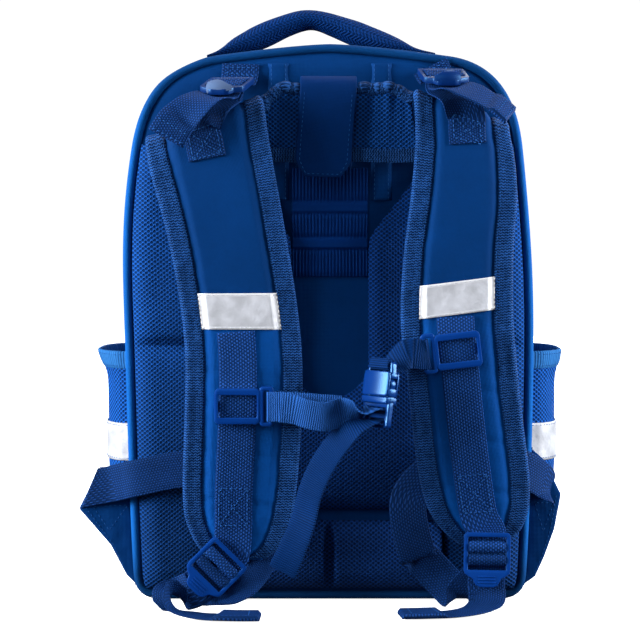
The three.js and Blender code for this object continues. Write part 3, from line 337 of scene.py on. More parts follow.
def spacer_mesh(name, blue, pitch, foot=None):
    """Knitted mesh: interleaved rows of small round holes in a thread net; its foot may carry painted
    light and shade: the mesh at another gain by height.
    """
    f = Finish(name, BLUE_GLOSS)
    s, t = f.cloth_place()

    def from_hole(across, along):
        x = across.cell(pitch)
        y = along.cell(pitch * 0.8) * 1.15
        square = x * x + y * y
        return square.maths("SQRT", square)

    near = from_hole(s, t)
    near = near.maths("MINIMUM", near, from_hole(s + pitch * 0.5, t + pitch * 0.4))
    net = f.step(near, pitch * 0.14, pitch * 0.37)
    patches = f.uneven(30)
    thread = f.blend(patches, shade(blue, 1.1), shade(blue, 1.65))
    color = f.blend(net, shade(blue, 0.28), thread)
    # Painted light and shade by height: the foot takes the mesh at its own gain
    if foot:
        thread = f.blend(patches, shade(blue, 1.1 * foot.gain), shade(blue, 1.65 * foot.gain))
        low = f.blend(net, shade(blue, 0.28 * foot.gain), thread)
        color = f.blend(f.above(foot), low, color)
    strands = f.uneven(1.4, 2.0) * 0.25
    return f.finish(color, 0.62 + patches * 0.2, net + strands, 0.75)


def handle_mesh():
    """Mesh pulled tight round the handle: slanting rows of short raised threads."""
    f = Finish("handle_mesh", BLUE_GLOSS)
    s, t = f.cloth_place()
    column = s.cell(7.0)
    lean = column.maths("ABSOLUTE", column)
    rows = (t + lean * 0.9).wave(2.6)
    raised = f.step(rows * 0.6 + s.wave(1.7) * 0.3 + f.uneven(1.6, 2.0) * 0.3, 0.35, 1.0)
    patches = f.uneven(24, 3.0)
    dark = f.blend(patches, shade(HANDLE_BLUE, 0.45), shade(HANDLE_BLUE, 0.8))
    light = f.blend(patches, shade(HANDLE_BLUE, 1.3), shade(HANDLE_BLUE, 2.0))
    return f.finish(f.blend(raised, dark, light), 0.6 + patches * 0.2, raised, 0.5)


def binding_tape(name, blue):
    """Edge tape: fine ribs in a close zigzag, uneven in tone."""
    f = Finish(name, BLUE_GLOSS)
    s, t = f.cloth_place()
    column = s.cell(2.6)
    lean = column.maths("ABSOLUTE", column)
    ribs = (t + lean * 0.6).wave(1.8) * 0.75 + s.wave(1.3) * 0.25
    patches = f.uneven(11, 4.0)
    raised = f.step(ribs * 0.7 + f.uneven(1.9, 3.0) * 0.7, 0.4, 0.95)
    dark = f.blend(patches, shade(TAPE_BLUE, 0.35), shade(TAPE_BLUE, 0.75))
    light = f.blend(patches, shade(blue, 0.7), shade(blue, 2.3))
    color = f.blend(raised, dark, light)
    return f.finish(color, 0.5 + patches * 0.2, raised, 0.5)


def woven(name, blue, dash, run, light):
    """Webbing: staggered raised dashes, dash wide across and run long."""
    f = Finish(name, BLUE_GLOSS)
    s, t = f.cloth_place()
    column = s / dash
    odd = (column / 2).maths("FRACT", column / 2)
    shift = odd.maths("GREATER_THAN", odd, 0.5) * (run / 2)
    across = s.wave(dash)
    along = (t + shift).wave(run)
    raised = f.step(across * along, 0.12, 0.72)
    patches = f.uneven(14, 3.0)
    dark = f.blend(patches, shade(blue, 0.45), shade(blue, 0.75))
    bright = f.blend(patches, shade(blue, light * 0.85), shade(blue, light * 1.2))
    color = f.blend(raised, dark, bright)
    return f.finish(color, 0.55 + patches * 0.2, raised + f.uneven(0.7) * 0.2, 0.35)


def ribbed_webbing(name, blue):
    """Chest webbing with strong cross ribs."""
    f = Finish(name, BLUE_GLOSS)
    s, t = f.cloth_place()
    ribs = (t + s.wave(1.9) * 0.25).wave(1.5)
    patches = f.uneven(12, 3.0)
    dark = f.blend(patches, shade(blue, 0.5), shade(blue, 0.8))
    light = f.blend(patches, shade(blue, 1.3), shade(blue, 1.9))
    return f.finish(f.blend(ribs, dark, light), 0.55 + patches * 0.2, ribs, 0.4)


def elastic_rib():
    """Elastic tape with ribs along it and fine cross threads."""
    f = Finish("elastic_rib", BLUE_GLOSS)
    s, t = f.cloth_place()
    ribs = s.wave(2.0) * 0.7 + t.wave(0.9) * 0.3
    patches = f.uneven(14, 3.0)
    light = f.blend(patches, shade(ELASTIC_BLUE, 0.95), shade(ELASTIC_BLUE, 1.25))
    color = f.blend(ribs, shade(ELASTIC_BLUE, 0.5), light)
    return f.finish(color, 0.65 + patches * 0.1, ribs, 0.35)


def moulded_plastic(name, blue, polish=0.3):
    """Satin moulded plastic with a faint grain."""
    f = Finish(name, {"Specular IOR Level": 0.5, "Specular Tint": (0.12, 0.5, 1.0, 1.0)})
    grain = f.uneven(0.8, 3.0)
    patches = f.uneven(18)
    color = f.blend(patches, shade(blue, 0.85), shade(blue, 1.2))
    return f.finish(color, polish + grain * 0.16, grain, 0.05)


def silver_film(name, silver):
    """Reflective film: fine beads, soft wrinkles across it with painted highlights and shade on them,
    scuffs.
    """
    f = Finish(name, {"Specular IOR Level": 0.5})
    s, t = f.cloth_place()
    beads = s.wave(0.8) * t.wave(0.8)
    wrinkles = f.uneven(13, 3.0)
    scuffs = f.uneven(4, 5.0)
    # Painted highlights and shade: the film lighter and darker as its wrinkles rise and fall
    color = f.blend(f.step(wrinkles, 0.3, 0.75), shade(silver, 0.82), shade(silver, 1.22))
    roughness = 0.26 + scuffs * 0.22
    return f.finish(color, roughness, wrinkles * 2.0 + beads * 0.1, 0.7)


def film_border():
    """White border of the reflective film, with painted highlights and shade on its wrinkles."""
    f = Finish("film_border", {"Specular IOR Level": 0.35})
    wrinkles = f.uneven(9, 3.0)
    # Painted highlights and shade on the border's wrinkles
    color = f.blend(wrinkles, (0.5, 0.52, 0.57, 1), (0.66, 0.68, 0.72, 1))
    return f.finish(color, 0.4 + wrinkles * 0.15, wrinkles, 0.3)


def sewing_thread(name, tone):
    """Thread: twisted, a little lighter than the cloth."""
    f = Finish(name, BLUE_GLOSS)
    twist = f.uneven(0.7, 2.0)
    color = f.blend(twist, shade(tone, 0.7), shade(tone, 1.5))
    return f.finish(color, 0.55 + twist * 0.2, twist, 0.1)


def zip_tape():
    """Zip tape: dense weave along the chain."""
    f = Finish("zip_tape", BLUE_GLOSS)
    s, t = f.cloth_place()
    ribs = (t + s * 0.5).wave(1.1)
    patches = f.uneven(20)
    dark = f.blend(patches, shade(TAPE_BLUE, 0.5), shade(TAPE_BLUE, 0.7))
    return f.finish(f.blend(ribs, dark, shade(TAPE_BLUE, 1.15)), 0.6 + patches * 0.2, ribs, 0.2)


CLOTH_LOOK = smooth_cloth("smooth_cloth", SHELL_BLUE)
# Painted light: the straps' cloth 1.85 times lighter below 186 to 206 mm
STRAP_LIT_FOOT_LOOK = smooth_cloth("strap_cloth_painted_light", SHELL_BLUE, PaintedShading(186, 206, 1.85))
# Painted shade: the piping darker at its foot below 4 to 50 mm and at its head above 300 to 372 mm
PIPING_SHADED_LOOK = smooth_cloth("piping_cloth_painted_shade", PIPING_BLUE, PaintedShading(4, 50, 0.3), PaintedShading(300, 372, 0.42))
TONGUE_SHADED_LOOK = smooth_cloth("tongue_cloth_painted_shade", TONGUE_SHADED_BLUE)
LADDER_SHADED_LOOK = smooth_cloth("ladder_cloth_painted_shade", LADDER_SHADED_BLUE)
HOLE_PITCH = 3.7
MESH_LOOK = spacer_mesh("spacer_mesh", MESH_BLUE, HOLE_PITCH)
# Painted shade: the bolster mesh darker towards the bottom, below 60 to 190 mm
BOLSTER_SHADED_LOOK = spacer_mesh("bolster_mesh_painted_shade", MESH_BLUE, HOLE_PITCH, PaintedShading(60, 190, 0.55))
POCKET_LOOK = spacer_mesh("pocket_mesh", POCKET_BLUE, HOLE_PITCH)
SPINE_SHADED_LOOK = spacer_mesh("spine_mesh_painted_shade", SPINE_SHADED_BLUE, HOLE_PITCH)
LUMBAR_SHADED_LOOK = spacer_mesh("lumbar_mesh_painted_shade", LUMBAR_SHADED_BLUE, HOLE_PITCH)
HANDLE_LOOK = handle_mesh()
TAPE_LOOK = binding_tape("binding_tape", TAPE_LIGHT)
YOKE_TAPE_LOOK = binding_tape("yoke_tape", YOKE_TAPE)
WEB_LOOK = woven("harness_webbing", WEBBING_BLUE, 1.7, 2.3, 2.15)
LOWER_WEB_LOOK = woven("lower_webbing", LOWER_WEBBING_BLUE, 1.6, 2.1, 1.75)
LIFTER_WEB_LOOK = woven("lifter_webbing", LIFTER_WEBBING_BLUE, 1.6, 2.1, 1.9)
CHEST_LIT_LOOK = ribbed_webbing("chest_webbing_painted_light", CHEST_LIT_BLUE)
CHEST_SHADED_LOOK = ribbed_webbing("chest_webbing_painted_shade", CHEST_SHADED_BLUE)
ELASTIC_LOOK = elastic_rib()
PLASTIC_LOOK = moulded_plastic("moulded_plastic", PLASTIC_BLUE)
LIFTER_PLASTIC_LOOK = moulded_plastic("lifter_plastic", LIFTER_PLASTIC)
PAINTED_HIGHLIGHT_LOOK = moulded_plastic("painted_highlight_plastic", PAINTED_HIGHLIGHT_PLASTIC, 0.6)
BUCKLE_LOOK = moulded_plastic("buckle_plastic", BUCKLE_PLASTIC, 0.16)
SILVER_LOOK = silver_film("silver_film", SILVER)
POCKET_FILM_LOOK = silver_film("pocket_film", POCKET_SILVER)
BORDER_LOOK = film_border()
THREAD_LOOK = sewing_thread("sewing_thread", THREAD_BLUE)
LIGHT_THREAD_LOOK = sewing_thread("light_thread", LIGHT_THREAD)
PALE_THREAD_LOOK = sewing_thread("pale_thread", PALE_THREAD)
ZIP_LOOK = zip_tape()


# Meshes
MERGE = 0.01


def surface(across, along, spot, ring=False, capped=False, facing=None, uv=None, tone=None):
    """A grid of faces laid out by spot(u, v), its UV map in millimetres; a ring is merged."""
    bm = bmesh.new()
    bmesh.ops.create_grid(bm, x_segments=across, y_segments=along, size=0.5)
    shares = {vert: (vert.co.x + 0.5, vert.co.y + 0.5) for vert in bm.verts}
    for vert, (u, v) in shares.items():
        vert.co = spot(u, v)
    across_run = running(sampled(across, lambda u: spot(u, 0.5)))
    along_run = running(sampled(along, lambda v: spot(0.5, v)))
    uv_map = bm.loops.layers.uv.new("UVMap")
    for face in bm.faces:
        if tone:
            middle = sum((Vector(shares[vert]) for vert in face.verts), Vector((0, 0))) / 4
            face.material_index = tone(middle.x, middle.y)
        for loop in face.loops:
            u, v = shares[loop.vert]
            flat = (across_run[round(u * across)], along_run[round(v * along)])
            loop[uv_map].uv = uv(loop.vert.co) if uv else flat
    if ring:
        bmesh.ops.remove_doubles(bm, verts=bm.verts, dist=MERGE)
    if capped:
        rims = [edge for edge in bm.edges if edge.is_boundary]
        bmesh.ops.holes_fill(bm, edges=rims, sides=0)
    if facing is None:
        bmesh.ops.recalc_face_normals(bm, faces=bm.faces)
    else:
        bm.normal_update()
        out = [f.normal.dot(facing(f.calc_center_median())) * f.calc_area() for f in bm.faces]
        if sum(out) < 0:
            bmesh.ops.reverse_faces(bm, faces=bm.faces)
    return bm


def to_viewer(_):
    return Vector((0, -1, 0))


def flat_uv(point):
    return (point.x, point.z)


def settled(point):
    """The standing bag's slight lean: left side out, right side in, top left corner rounder."""
    left = ease((-point.x - 90) / 42)
    right = ease((point.x - 90) / 42)
    corner = ease((-point.x - 72) / 25) * bell(point.z - 369, 10)
    leaning = 3.2 * left * bell(point.z - 265, 75)
    drawn_in = 1.8 * right * bell(point.z - 290, 70)
    return point.x - leaning - drawn_in + 3.6 * corner


def piece(name, bm, looks, nodes=(), sharp=None, place=None):
    """A finished piece from a mesh in millimetres."""
    if place:
        bmesh.ops.transform(bm, matrix=place, verts=bm.verts)
    for vert in bm.verts:
        vert.co.x = settled(vert.co)
    bmesh.ops.transform(bm, matrix=TO_FRAME, verts=bm.verts)
    mesh = bpy.data.meshes.new(name)
    bm.to_mesh(mesh)
    bm.free()
    for look in looks:
        mesh.materials.append(look)
    mesh.shade_smooth()
    if sharp:
        mesh.set_sharp_from_angle(angle=math.radians(sharp))
    made = bpy.data.objects.new(name + "_sewn" if nodes else name, mesh)
    bpy.context.scene.collection.objects.link(made)
    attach(made, "root")
    if nodes:
        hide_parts(*nodes)
    return made


def walled(made, thickness, offset=-1.0):
    """Give a cloth piece its thickness, inwards unless said."""
    wall = made.modifiers.new("wall", "SOLIDIFY")
    wall.thickness = thickness * MM
    wall.offset = offset
    return made


def join(parts):
    """One mesh from several."""
    whole = bmesh.new()
    whole.loops.layers.uv.new("UVMap")
    for part in parts:
        held = bpy.data.meshes.new("held")
        part.to_mesh(held)
        part.free()
        whole.from_mesh(held)
        bpy.data.meshes.remove(held)
    return whole


def tube(line, radius, sides, closed=False):
    """A round tube along an evenly cut line."""
    def spot(u, v):
        n = len(line) if closed else len(line) - 1
        k = round(v * n)
        here = line[k % len(line)]
        ahead = line[(k + 1) % len(line)] if closed else line[min(k + 1, n)]
        behind = line[(k - 1) % len(line)] if closed else line[max(k - 1, 0)]
        way = (ahead - behind).normalized()
        side = way.orthogonal() if abs(way.y) > 0.95 else way.cross(Vector((0, 1, 0)))
        side.normalize()
        up = side.cross(way)
        angle = 2 * math.pi * u
        return here + radius * (math.cos(angle) * side + math.sin(angle) * up)

    count = len(line) if closed else len(line) - 1
    return surface(sides, count, spot, ring=True, capped=not closed)


# Section of webbing: share of the half width, share of the half thickness
WEB_SECTION = [
    (1, 0), (0.985, 0.75), (0.94, 1), (0.6, 0.94), (0.2, 0.92),
    (-0.2, 0.92), (-0.6, 0.94), (-0.94, 1), (-0.985, 0.75), (-1, 0),
    (-0.985, -0.75), (-0.94, -1), (-0.6, -0.94), (-0.2, -0.92),
    (0.2, -0.92), (0.6, -0.94), (0.94, -1), (0.985, -0.75),
]


TO_VIEW = Vector((0, -1, 1))
PACE = 0.01


def frame_at(rows, t, pace):
    """Middle, way along, way across and way out of a band at share t."""
    row = between(rows, t)
    ahead = Vector(between(rows, t + pace)[:3])
    behind = Vector(between(rows, t - pace)[:3])
    way = (ahead - behind).normalized()
    across = Vector(row[3:6])
    across = (across - way * across.dot(way)).normalized()
    return Vector(row[:3]), way, across, way.cross(across)


def band(
    rows, width, thickness, per_row=6, width_at=None, thick_at=None, wave=0.0, slant=0.0, tone=None,
):
    """Webbing along rows of its middle and the way across it; its start may be cut aslant."""
    steps = (len(rows) - 1) * per_row
    sides = len(WEB_SECTION)

    def spot(u, v):
        middle, way, across, out = frame_at(rows, v, 0.1 / (len(rows) - 1))
        x, y = WEB_SECTION[round(u * sides) % sides]
        half = width / 2 * (width_at(v) if width_at else 1)
        thick = thickness / 2 * (thick_at(v) if thick_at else 1)
        start = clamp(1 - v * (len(rows) - 1) / 1.4)
        point = middle + across * (x * half) + way * (slant * start * x * half)
        lean = 1 if out.dot(TO_VIEW) > 0 else -1
        return point + out * (y * thick + lean * (thick - thickness / 2) + slack(point, 7, wave))

    return surface(sides, steps, spot, ring=True, capped=True, tone=tone)


# Stitches, and how far they stand out of flat cloth
PROUD = Vector((0, -0.1, 0))
STITCH = {"pitch": 3.1, "length": 2.1, "radius": 0.24}
BATCH = 40


def beads(places, sides):
    """One mesh of many small round beads, each stretched to its own place."""
    parts = []
    for first in range(0, len(places), BATCH):
        bm = bmesh.new()
        for place in places[first:first + BATCH]:
            bmesh.ops.create_uvsphere(bm, u_segments=sides, v_segments=4, radius=1, matrix=place)
        parts.append(bm)
    return join(parts)


def stitches(name, runs, radius=STITCH["radius"], look=THREAD_LOOK):
    """Rows of short stitches along lines of points."""
    places = []
    for line in runs:
        count = max(int(running(line)[-1] / STITCH["pitch"]), 1)
        spots = evenly(line, 2 * count)
        for k in range(count):
            start, middle, end = spots[2 * k], spots[2 * k + 1], spots[2 * k + 2]
            turn = (end - start).to_track_quat("X", "Z").to_matrix().to_4x4()
            size = Matrix.Diagonal((STITCH["length"] / 2, radius, radius, 1))
            places.append(Matrix.Translation(middle) @ turn @ size)
    return piece(name, beads(places, 6), [look])


# Plates with openings, for the moulded pieces
def solid(column, row):
    """No cell of a plate is open."""
    return False


def pierced(columns, rows, is_open, low, high, bevel):
    """A plate of cells: shares of the half width across, height and half width of each row."""
    across = len(columns) - 1
    along = len(rows) - 1
    bm = bmesh.new()
    bmesh.ops.create_grid(bm, x_segments=across, y_segments=along, size=0.5)
    open_cells = []
    for face in bm.faces:
        middle = face.calc_center_median()
        cell = (int((middle.x + 0.5) * across), int((middle.y + 0.5) * along))
        if is_open(*cell):
            open_cells.append(face)
    for vert in bm.verts:
        height, half = rows[round((vert.co.y + 0.5) * along)]
        vert.co = Vector((columns[round((vert.co.x + 0.5) * across)] * half, height, low))
    bmesh.ops.delete(bm, geom=open_cells, context="FACES")
    risen = bmesh.ops.extrude_face_region(bm, geom=bm.faces[:])["geom"]
    lids = [part for part in risen if isinstance(part, bmesh.types.BMVert)]
    bmesh.ops.translate(bm, verts=lids, vec=Vector((0, 0, high - low)))
    bmesh.ops.recalc_face_normals(bm, faces=bm.faces)
    return rounded(bm, bevel)


# Edges that turn by more degrees than this are rounded
SHARP = 32


def rounded(bm, bevel, segments=2):
    """Round the sharp edges of a hard piece."""
    sharp = [e for e in bm.edges if e.is_manifold and e.calc_face_angle() > math.radians(SHARP)]
    bmesh.ops.bevel(
        bm, geom=sharp, offset=bevel, offset_type="OFFSET", segments=segments, profile=0.5,
        affect="EDGES", material=-1, clamp_overlap=True,
    )
    return bm


def block(low, high, bevel, segments=2):
    """A box with rounded edges."""
    bm = bmesh.new()
    size = Vector(high) - Vector(low)
    middle = (Vector(high) + Vector(low)) / 2
    matrix = Matrix.Translation(middle) @ Matrix.Diagonal((*size, 1))
    bmesh.ops.create_cube(bm, size=1, matrix=matrix)
    return rounded(bm, bevel, segments)


# Outline of the back: the arch above the side seams, the cradle below them
ARCH_HALF = [
    [(BODY_HALF, SEAM_HEIGHT), (BODY_HALF + 0.4, 255), (133, 310)],
    [(133, 310), (128, 350), (108, 368.5), (80, 372)],
    [(80, 372), (24, 379.5), (0, BODY_HEIGHT)],
]
CRADLE_HALF = [
    [(-BODY_HALF, SEAM_HEIGHT), (-139, 90), (-135, 17)],
    [(-135, 17), (-134, 0), (-117, 0)],
    [(-117, 0), (0, 0)],
]


def bezier(points, t):
    while len(points) > 1:
        points = [a.lerp(b, t) for a, b in zip(points, points[1:])]
    return points[0]


def both_halves(half, count):
    """A line through the curves of one half and then of its mirror image, evenly cut."""
    line = []
    for curve in half:
        corners = [Vector(corner) for corner in curve]
        line += [bezier(corners, k / 24) for k in range(24)]
    line.append(Vector(half[-1][-1]))
    first = evenly(line, count // 2)
    return first + [Vector((-p.x, p.y)) for p in reversed(first[:-1])]


def inset(line, distance, closed):
    """Points moved square to their line, towards the inside of the bag."""
    moved = []
    n = len(line)
    for i, p in enumerate(line):
        before = line[i - 1] if closed or i > 0 else p
        after = line[(i + 1) % n] if closed or i < n - 1 else p
        way = (after - before).normalized()
        moved.append(Vector((p.x - way.y * distance, p.y + way.x * distance)))
    return moved


ARCH_STEPS = 168
CRADLE_STEPS = 144
ARCH = both_halves(ARCH_HALF, ARCH_STEPS)
CRADLE = both_halves(CRADLE_HALF, CRADLE_STEPS)
OUTLINE = ARCH[:-1] + CRADLE[:-1]
FRONT_OUTLINE = [Vector((p.x * FRONT_NARROWING, p.y * FRONT_LOWERING)) for p in OUTLINE]


OUTLINE_SIDE = sorted((p.y, p.x) for p in OUTLINE if p.x > -0.01 and p.y > 0.01)


def half_width(z):
    return straight(OUTLINE_SIDE, z)


def on_side(point, way, share, lift=0.0):
    """A point of the outline carried back to a share of the depth, on the side walls."""
    far = mix(DEPTH_BASE, DEPTH_TOP, point.y / BODY_HEIGHT)
    bulge = SIDE_BULGE * math.sin(math.pi * share) * clamp(point.y / 40) + lift
    x = point.x * mix(1, FRONT_NARROWING, share) + way.y * bulge
    z = point.y * mix(1, FRONT_LOWERING, share) - way.x * bulge
    return Vector((x, mix(GUSSET_START, far, share), z))


def sunk(line):
    """The line of the cloth, just inside the piping and flat on the floor."""
    moved = inset(line, SINK, False)
    for p in moved:
        p.y -= SINK * clamp(1 - (p.y - SINK) / 40)
    return moved


def from_middle(point):
    return point - Vector((0, point.y, 190))


# Body
ZIP = {"back": 0.4, "front": 0.52, "gap": 0.003}
ARCH_CLOTH = sunk(ARCH)
CRADLE_CLOTH = sunk(CRADLE)


def side_cloth(name, line, start, end, across, depth):
    """A wall of cloth round the bag between two shares of its depth, a little slack."""
    def spot(u, v):
        point, way = walk(line, v)
        share = mix(start, end, u)
        flat = on_side(point, way, share)
        hang = math.sin(math.pi * u) * clamp(flat.z / 40)
        give = slack(flat, 46, depth) + slack(flat, 17, depth * 0.35)
        return on_side(point, way, share, give * hang)

    bm = surface(across, len(line) - 1, spot, facing=from_middle)
    return walled(piece(name, bm, [CLOTH_LOOK], [name]), CLOTH)


side_cloth("base_gusset", CRADLE_CLOTH, 0, 1 - ZIP["gap"], 30, 2.2)
side_cloth("zip_gusset_back", ARCH_CLOTH, 0, ZIP["back"], 14, 1.4)
side_cloth("zip_gusset_front", ARCH_CLOTH, ZIP["front"], 1 - ZIP["gap"], 16, 1.4)


def piping(name, line, radius, depth_at):
    core = inset(line, radius, True)
    path = [Vector((p.x, depth_at(p.y), p.y + 0.2)) for p in core]
    return piece(name, tube(path, radius, 12, True), [PIPING_SHADED_LOOK], [name])


def front_depth(z):
    return mix(DEPTH_BASE, DEPTH_TOP, z / (BODY_HEIGHT * FRONT_LOWERING))


piping("piping_back", OUTLINE, PIPING_RADIUS, lambda z: 2.6)
piping("piping_front", FRONT_OUTLINE, PIPING_FRONT, lambda z: front_depth(z) + PIPING_FRONT + GAP)


def panel(edge, low, high, skin, facing):
    """A panel from its edge line to a short upright line in its middle."""
    def spot(u, v):
        point, _ = walk(edge, v, True)
        middle = Vector((0, clamp(point.y, low, high)))
        return skin(middle.lerp(point, u), u)

    return surface(26, len(edge), spot, ring=True, facing=facing, uv=flat_uv)


def back_skin(flat, u):
    """The back panel: flat, its rim turned under the piping, slightly full along the top."""
    rim = 2.4 * ease((u - 0.94) / 0.06)
    full = 0.9 * bell(flat.y - 362, 9) * ease((1 - u) * 14)
    return Vector((flat.x, rim - full, flat.y))


PANEL_EDGE = inset(OUTLINE, 2 * PIPING_RADIUS + GAP - 1.2, True)
back_mesh = panel(PANEL_EDGE, 110, 270, back_skin, to_viewer)
walled(piece("back_panel", back_mesh, [CLOTH_LOOK], ["back_panel"]), PANEL_THICKNESS - 3)

FRONT_CROWN = 13
FRONT_TOP = 345.2
FRONT_MIDDLE = (100, 240)
FRONT_EDGE = inset(FRONT_OUTLINE, 2 * PIPING_FRONT + 3 * GAP - 0.8, True)
FRONT_SIDE = sorted((p.y, p.x) for p in FRONT_EDGE if p.x > -0.01)


def front_skin(flat, u, out=CLOTH):
    """The crowned front of the bag."""
    half = max(straight(FRONT_SIDE, flat.y), 1)
    share = clamp(abs(flat.x) / half)
    rise = FRONT_CROWN * math.sin(math.pi * clamp((flat.y + 25) / (FRONT_TOP + 50))) ** 0.8
    puff = ease((1 - u) * 5)
    sag = slack(Vector((flat.x, 0, flat.y)), 60, 1.6) * puff
    crown = rise * (1 - share ** 4) * mix(0.4, 1, puff)
    return Vector((flat.x, front_depth(flat.y) + 1 + crown + out + sag, flat.y))


front_mesh = panel(FRONT_EDGE, *FRONT_MIDDLE, front_skin, lambda p: Vector((0, 1, 0)))
walled(piece("front_panel", front_mesh, [CLOTH_LOOK], ["front_panel"]), CLOTH)


# Main zip: tape, coil and two sliders
def zip_spot(u, v):
    point, way = walk(ARCH_CLOTH, v)
    share = mix(ZIP["back"] + ZIP["gap"], ZIP["front"] - ZIP["gap"], u)
    return on_side(point, way, share, 0.9 * bell(u - 0.5, 0.22))


zip_bm = surface(14, len(ARCH_CLOTH) - 1, zip_spot, facing=from_middle)
walled(piece("zip_chain", zip_bm, [ZIP_LOOK], ["zip_chain"]), 1.4)


def zip_coil():
    """Coil of the zip: one small round tooth after another, to either side in turn."""
    count = 330
    places = []
    for k in range(1, count):
        here = zip_spot(0.5, k / count)
        edge = zip_spot(0.3 if k % 2 else 0.7, k / count)
        turn = (edge - here).to_track_quat("X", "Z").to_matrix().to_4x4()
        middle = here.lerp(edge, 0.25)
        places.append(Matrix.Translation(middle) @ turn @ Matrix.Diagonal((2.6, 0.8, 0.8, 1)))
    piece("zip_coil", beads(places, 8), [PLASTIC_LOOK])


zip_coil()


def zip_slider(name, side):
    """Slider body with a bridge, and its pull with a hole."""
    body = pierced(
        (-1, -0.4, 0.4, 1), [(-6, 3.2), (-3, 4), (3, 4), (6, 3.2)], solid, 0, 2.2, 0.5,
    )
    bridge = block((-1.3, -4.5, 2), (1.3, 4.5, 3.6), 0.6)
    pull = pierced(
        (-1, -0.45, 0.45, 1),
        [(4, 2.2), (7, 2.6), (9, 2.7), (28, 3.2), (31, 3.2), (34, 2.2)],
        lambda i, j: i == 1 and j in (1, 3), 2.4, 4.0, 0.4,
    )
    top = ARCH[len(ARCH) // 2].y - 1.9
    spot = on_side(Vector((side * 22, top)), Vector((-1, 0)), 0.46, 0.6)
    slope = math.atan2(BODY_HEIGHT * (1 - FRONT_LOWERING), DEPTH_TOP - PANEL_THICKNESS)
    turn = Matrix.Rotation(-slope, 4, "X") @ Matrix.Rotation(-side * math.pi / 2, 4, "Z")
    place = Matrix.Translation(spot) @ turn
    piece(name, join([body, bridge, pull]), [PLASTIC_LOOK], [name], 35, place)


zip_slider("zip_slider_left", -1)
zip_slider("zip_slider_right", 1)

# Carry handle: x, z, half height and half depth of its section
HANDLE_DEPTH = 24
HANDLE_ROWS = [
    (-86, 369.4, 1.6, 13), (-76, 372.2, 3, 13), (-62, 379, 7, 12), (-46, 386.9, 8.6, 11),
    (-30, 393.7, 7.4, 11), (-13.4, 397.4, 6.4, 11), (3, 393.6, 7.4, 11), (22, 386.6, 8.6, 11),
    (42, 379.4, 7, 12), (58, 373.6, 3.4, 13), (72, 370.8, 1.6, 13),
]
HANDLE_LEAN = Vector((0, 1, -0.27)).normalized()


def handle_spot(u, v):
    x, z, tall, deep = between(HANDLE_ROWS, v)
    ahead = between(HANDLE_ROWS, v + 0.02)
    behind = between(HANDLE_ROWS, v - 0.02)
    way = Vector((ahead[0] - behind[0], 0, ahead[1] - behind[1])).normalized()
    up = HANDLE_LEAN.cross(way).normalized()
    angle = 2 * math.pi * u
    seam = 1 - 0.1 * bell(math.sin(angle) + 1, 0.12)
    point = Vector((x, HANDLE_DEPTH, z))
    point = point + HANDLE_LEAN * (deep * math.cos(angle) * seam)
    point = point + up * (tall * math.sin(angle) * seam)
    return point + up * slack(point, 14, 0.5)


handle_bm = surface(28, 90, handle_spot, ring=True, capped=True)
piece("carry_handle", handle_bm, [HANDLE_LOOK], ["carry_handle"])

# Pads of the back
PAD_FRONT = 0.78


def pad_share(u):
    """Share across a pad for a place round its section, and whether it is on the front."""
    if u <= PAD_FRONT:
        return (1 - math.cos(math.pi * u / PAD_FRONT)) / 2, True
    return 1 - (u - PAD_FRONT) / (1 - PAD_FRONT), False


def pad_rise(share, wide, rim):
    """Height of a pad over its width: round rims, a slight crown."""
    reach = clamp(min(share, 1 - share) * wide / rim)
    crown = 0.9 + 0.1 * (1 - (2 * share - 1) ** 2)
    return math.sqrt(1 - (1 - reach) ** 2) * crown


def pad(name, across, along, line_at, high_at, rim, look=MESH_LOOK):
    """A padded piece on the back panel between two lines."""
    def spot(u, v):
        share, on_front = pad_share(u)
        start, end = line_at(v)
        flat = start.lerp(end, share)
        if not on_front:
            return Vector((flat.x, -GAP, flat.y))
        high = high_at(v, share, flat) * pad_rise(share, (end - start).length, rim)
        give = slack(Vector((flat.x, 0, flat.y)), 24, 0.7) * clamp(high / 6)
        return Vector((flat.x, -GAP - high + give, flat.y))

    bm = surface(across, along, spot, ring=True, capped=True, uv=flat_uv)
    return piece(name, bm, [look], [name])


# Bolsters: height up the bag, rise, inner edge
BOLSTER_ROWS = [
    (8, 1.5, 78), (11, 6.5, 78), (18, 10.5, 78), (30, PAD_HEIGHT, 78), (90, PAD_HEIGHT, 78),
    (150, PAD_HEIGHT, 78), (166, 10.2, 78), (172, 6.6, 78), (175, 4.8, 78), (178, 6.6, 78),
    (184, 10.2, 78), (200, PAD_HEIGHT, 78), (240, PAD_HEIGHT, 78), (280, PAD_HEIGHT, 82),
    (300, 10, 91), (309, 6, 96.6), (312, 1.5, 98),
]


def bolster(name, side):
    def line_at(v):
        z, _, inner = between(BOLSTER_ROWS, v)
        outer = half_width(z) - 2 * PIPING_RADIUS - 2 * GAP
        return Vector((side * outer, z)), Vector((side * inner, z))

    def high_at(v, share, flat):
        return between(BOLSTER_ROWS, v)[1]

    pad(name, 40, 128, line_at, high_at, 15, BOLSTER_SHADED_LOOK)


bolster("bolster_left", -1)
bolster("bolster_right", 1)

# Spine pad: outer edge x, z and inner edge x, z down its left arm to the middle
SPINE_ROWS = [
    (-77, 284, -64, 297), (-77, 270, -55, 285.5), (-77, 252, -45, 272.5), (-77, 230, -29, 252),
    (-77, 210, -26, 240), (-77, 180, -26, 205), (-77, 140, -26, 165), (-77, 100, -23.5, 154),
    (-77, 72, -18.4, 146.6), (-68, 62, -11, 141.4), (-40, 62, -5, 139.4), (0, 62, 0, 139),
]
SPINE_LOOP = SPINE_ROWS + [(-a, b, -c, d) for a, b, c, d in reversed(SPINE_ROWS[:-1])]


def spine_line(v):
    ox, oz, ix, iz = between(SPINE_LOOP, v)
    return Vector((ox, oz)), Vector((ix, iz))


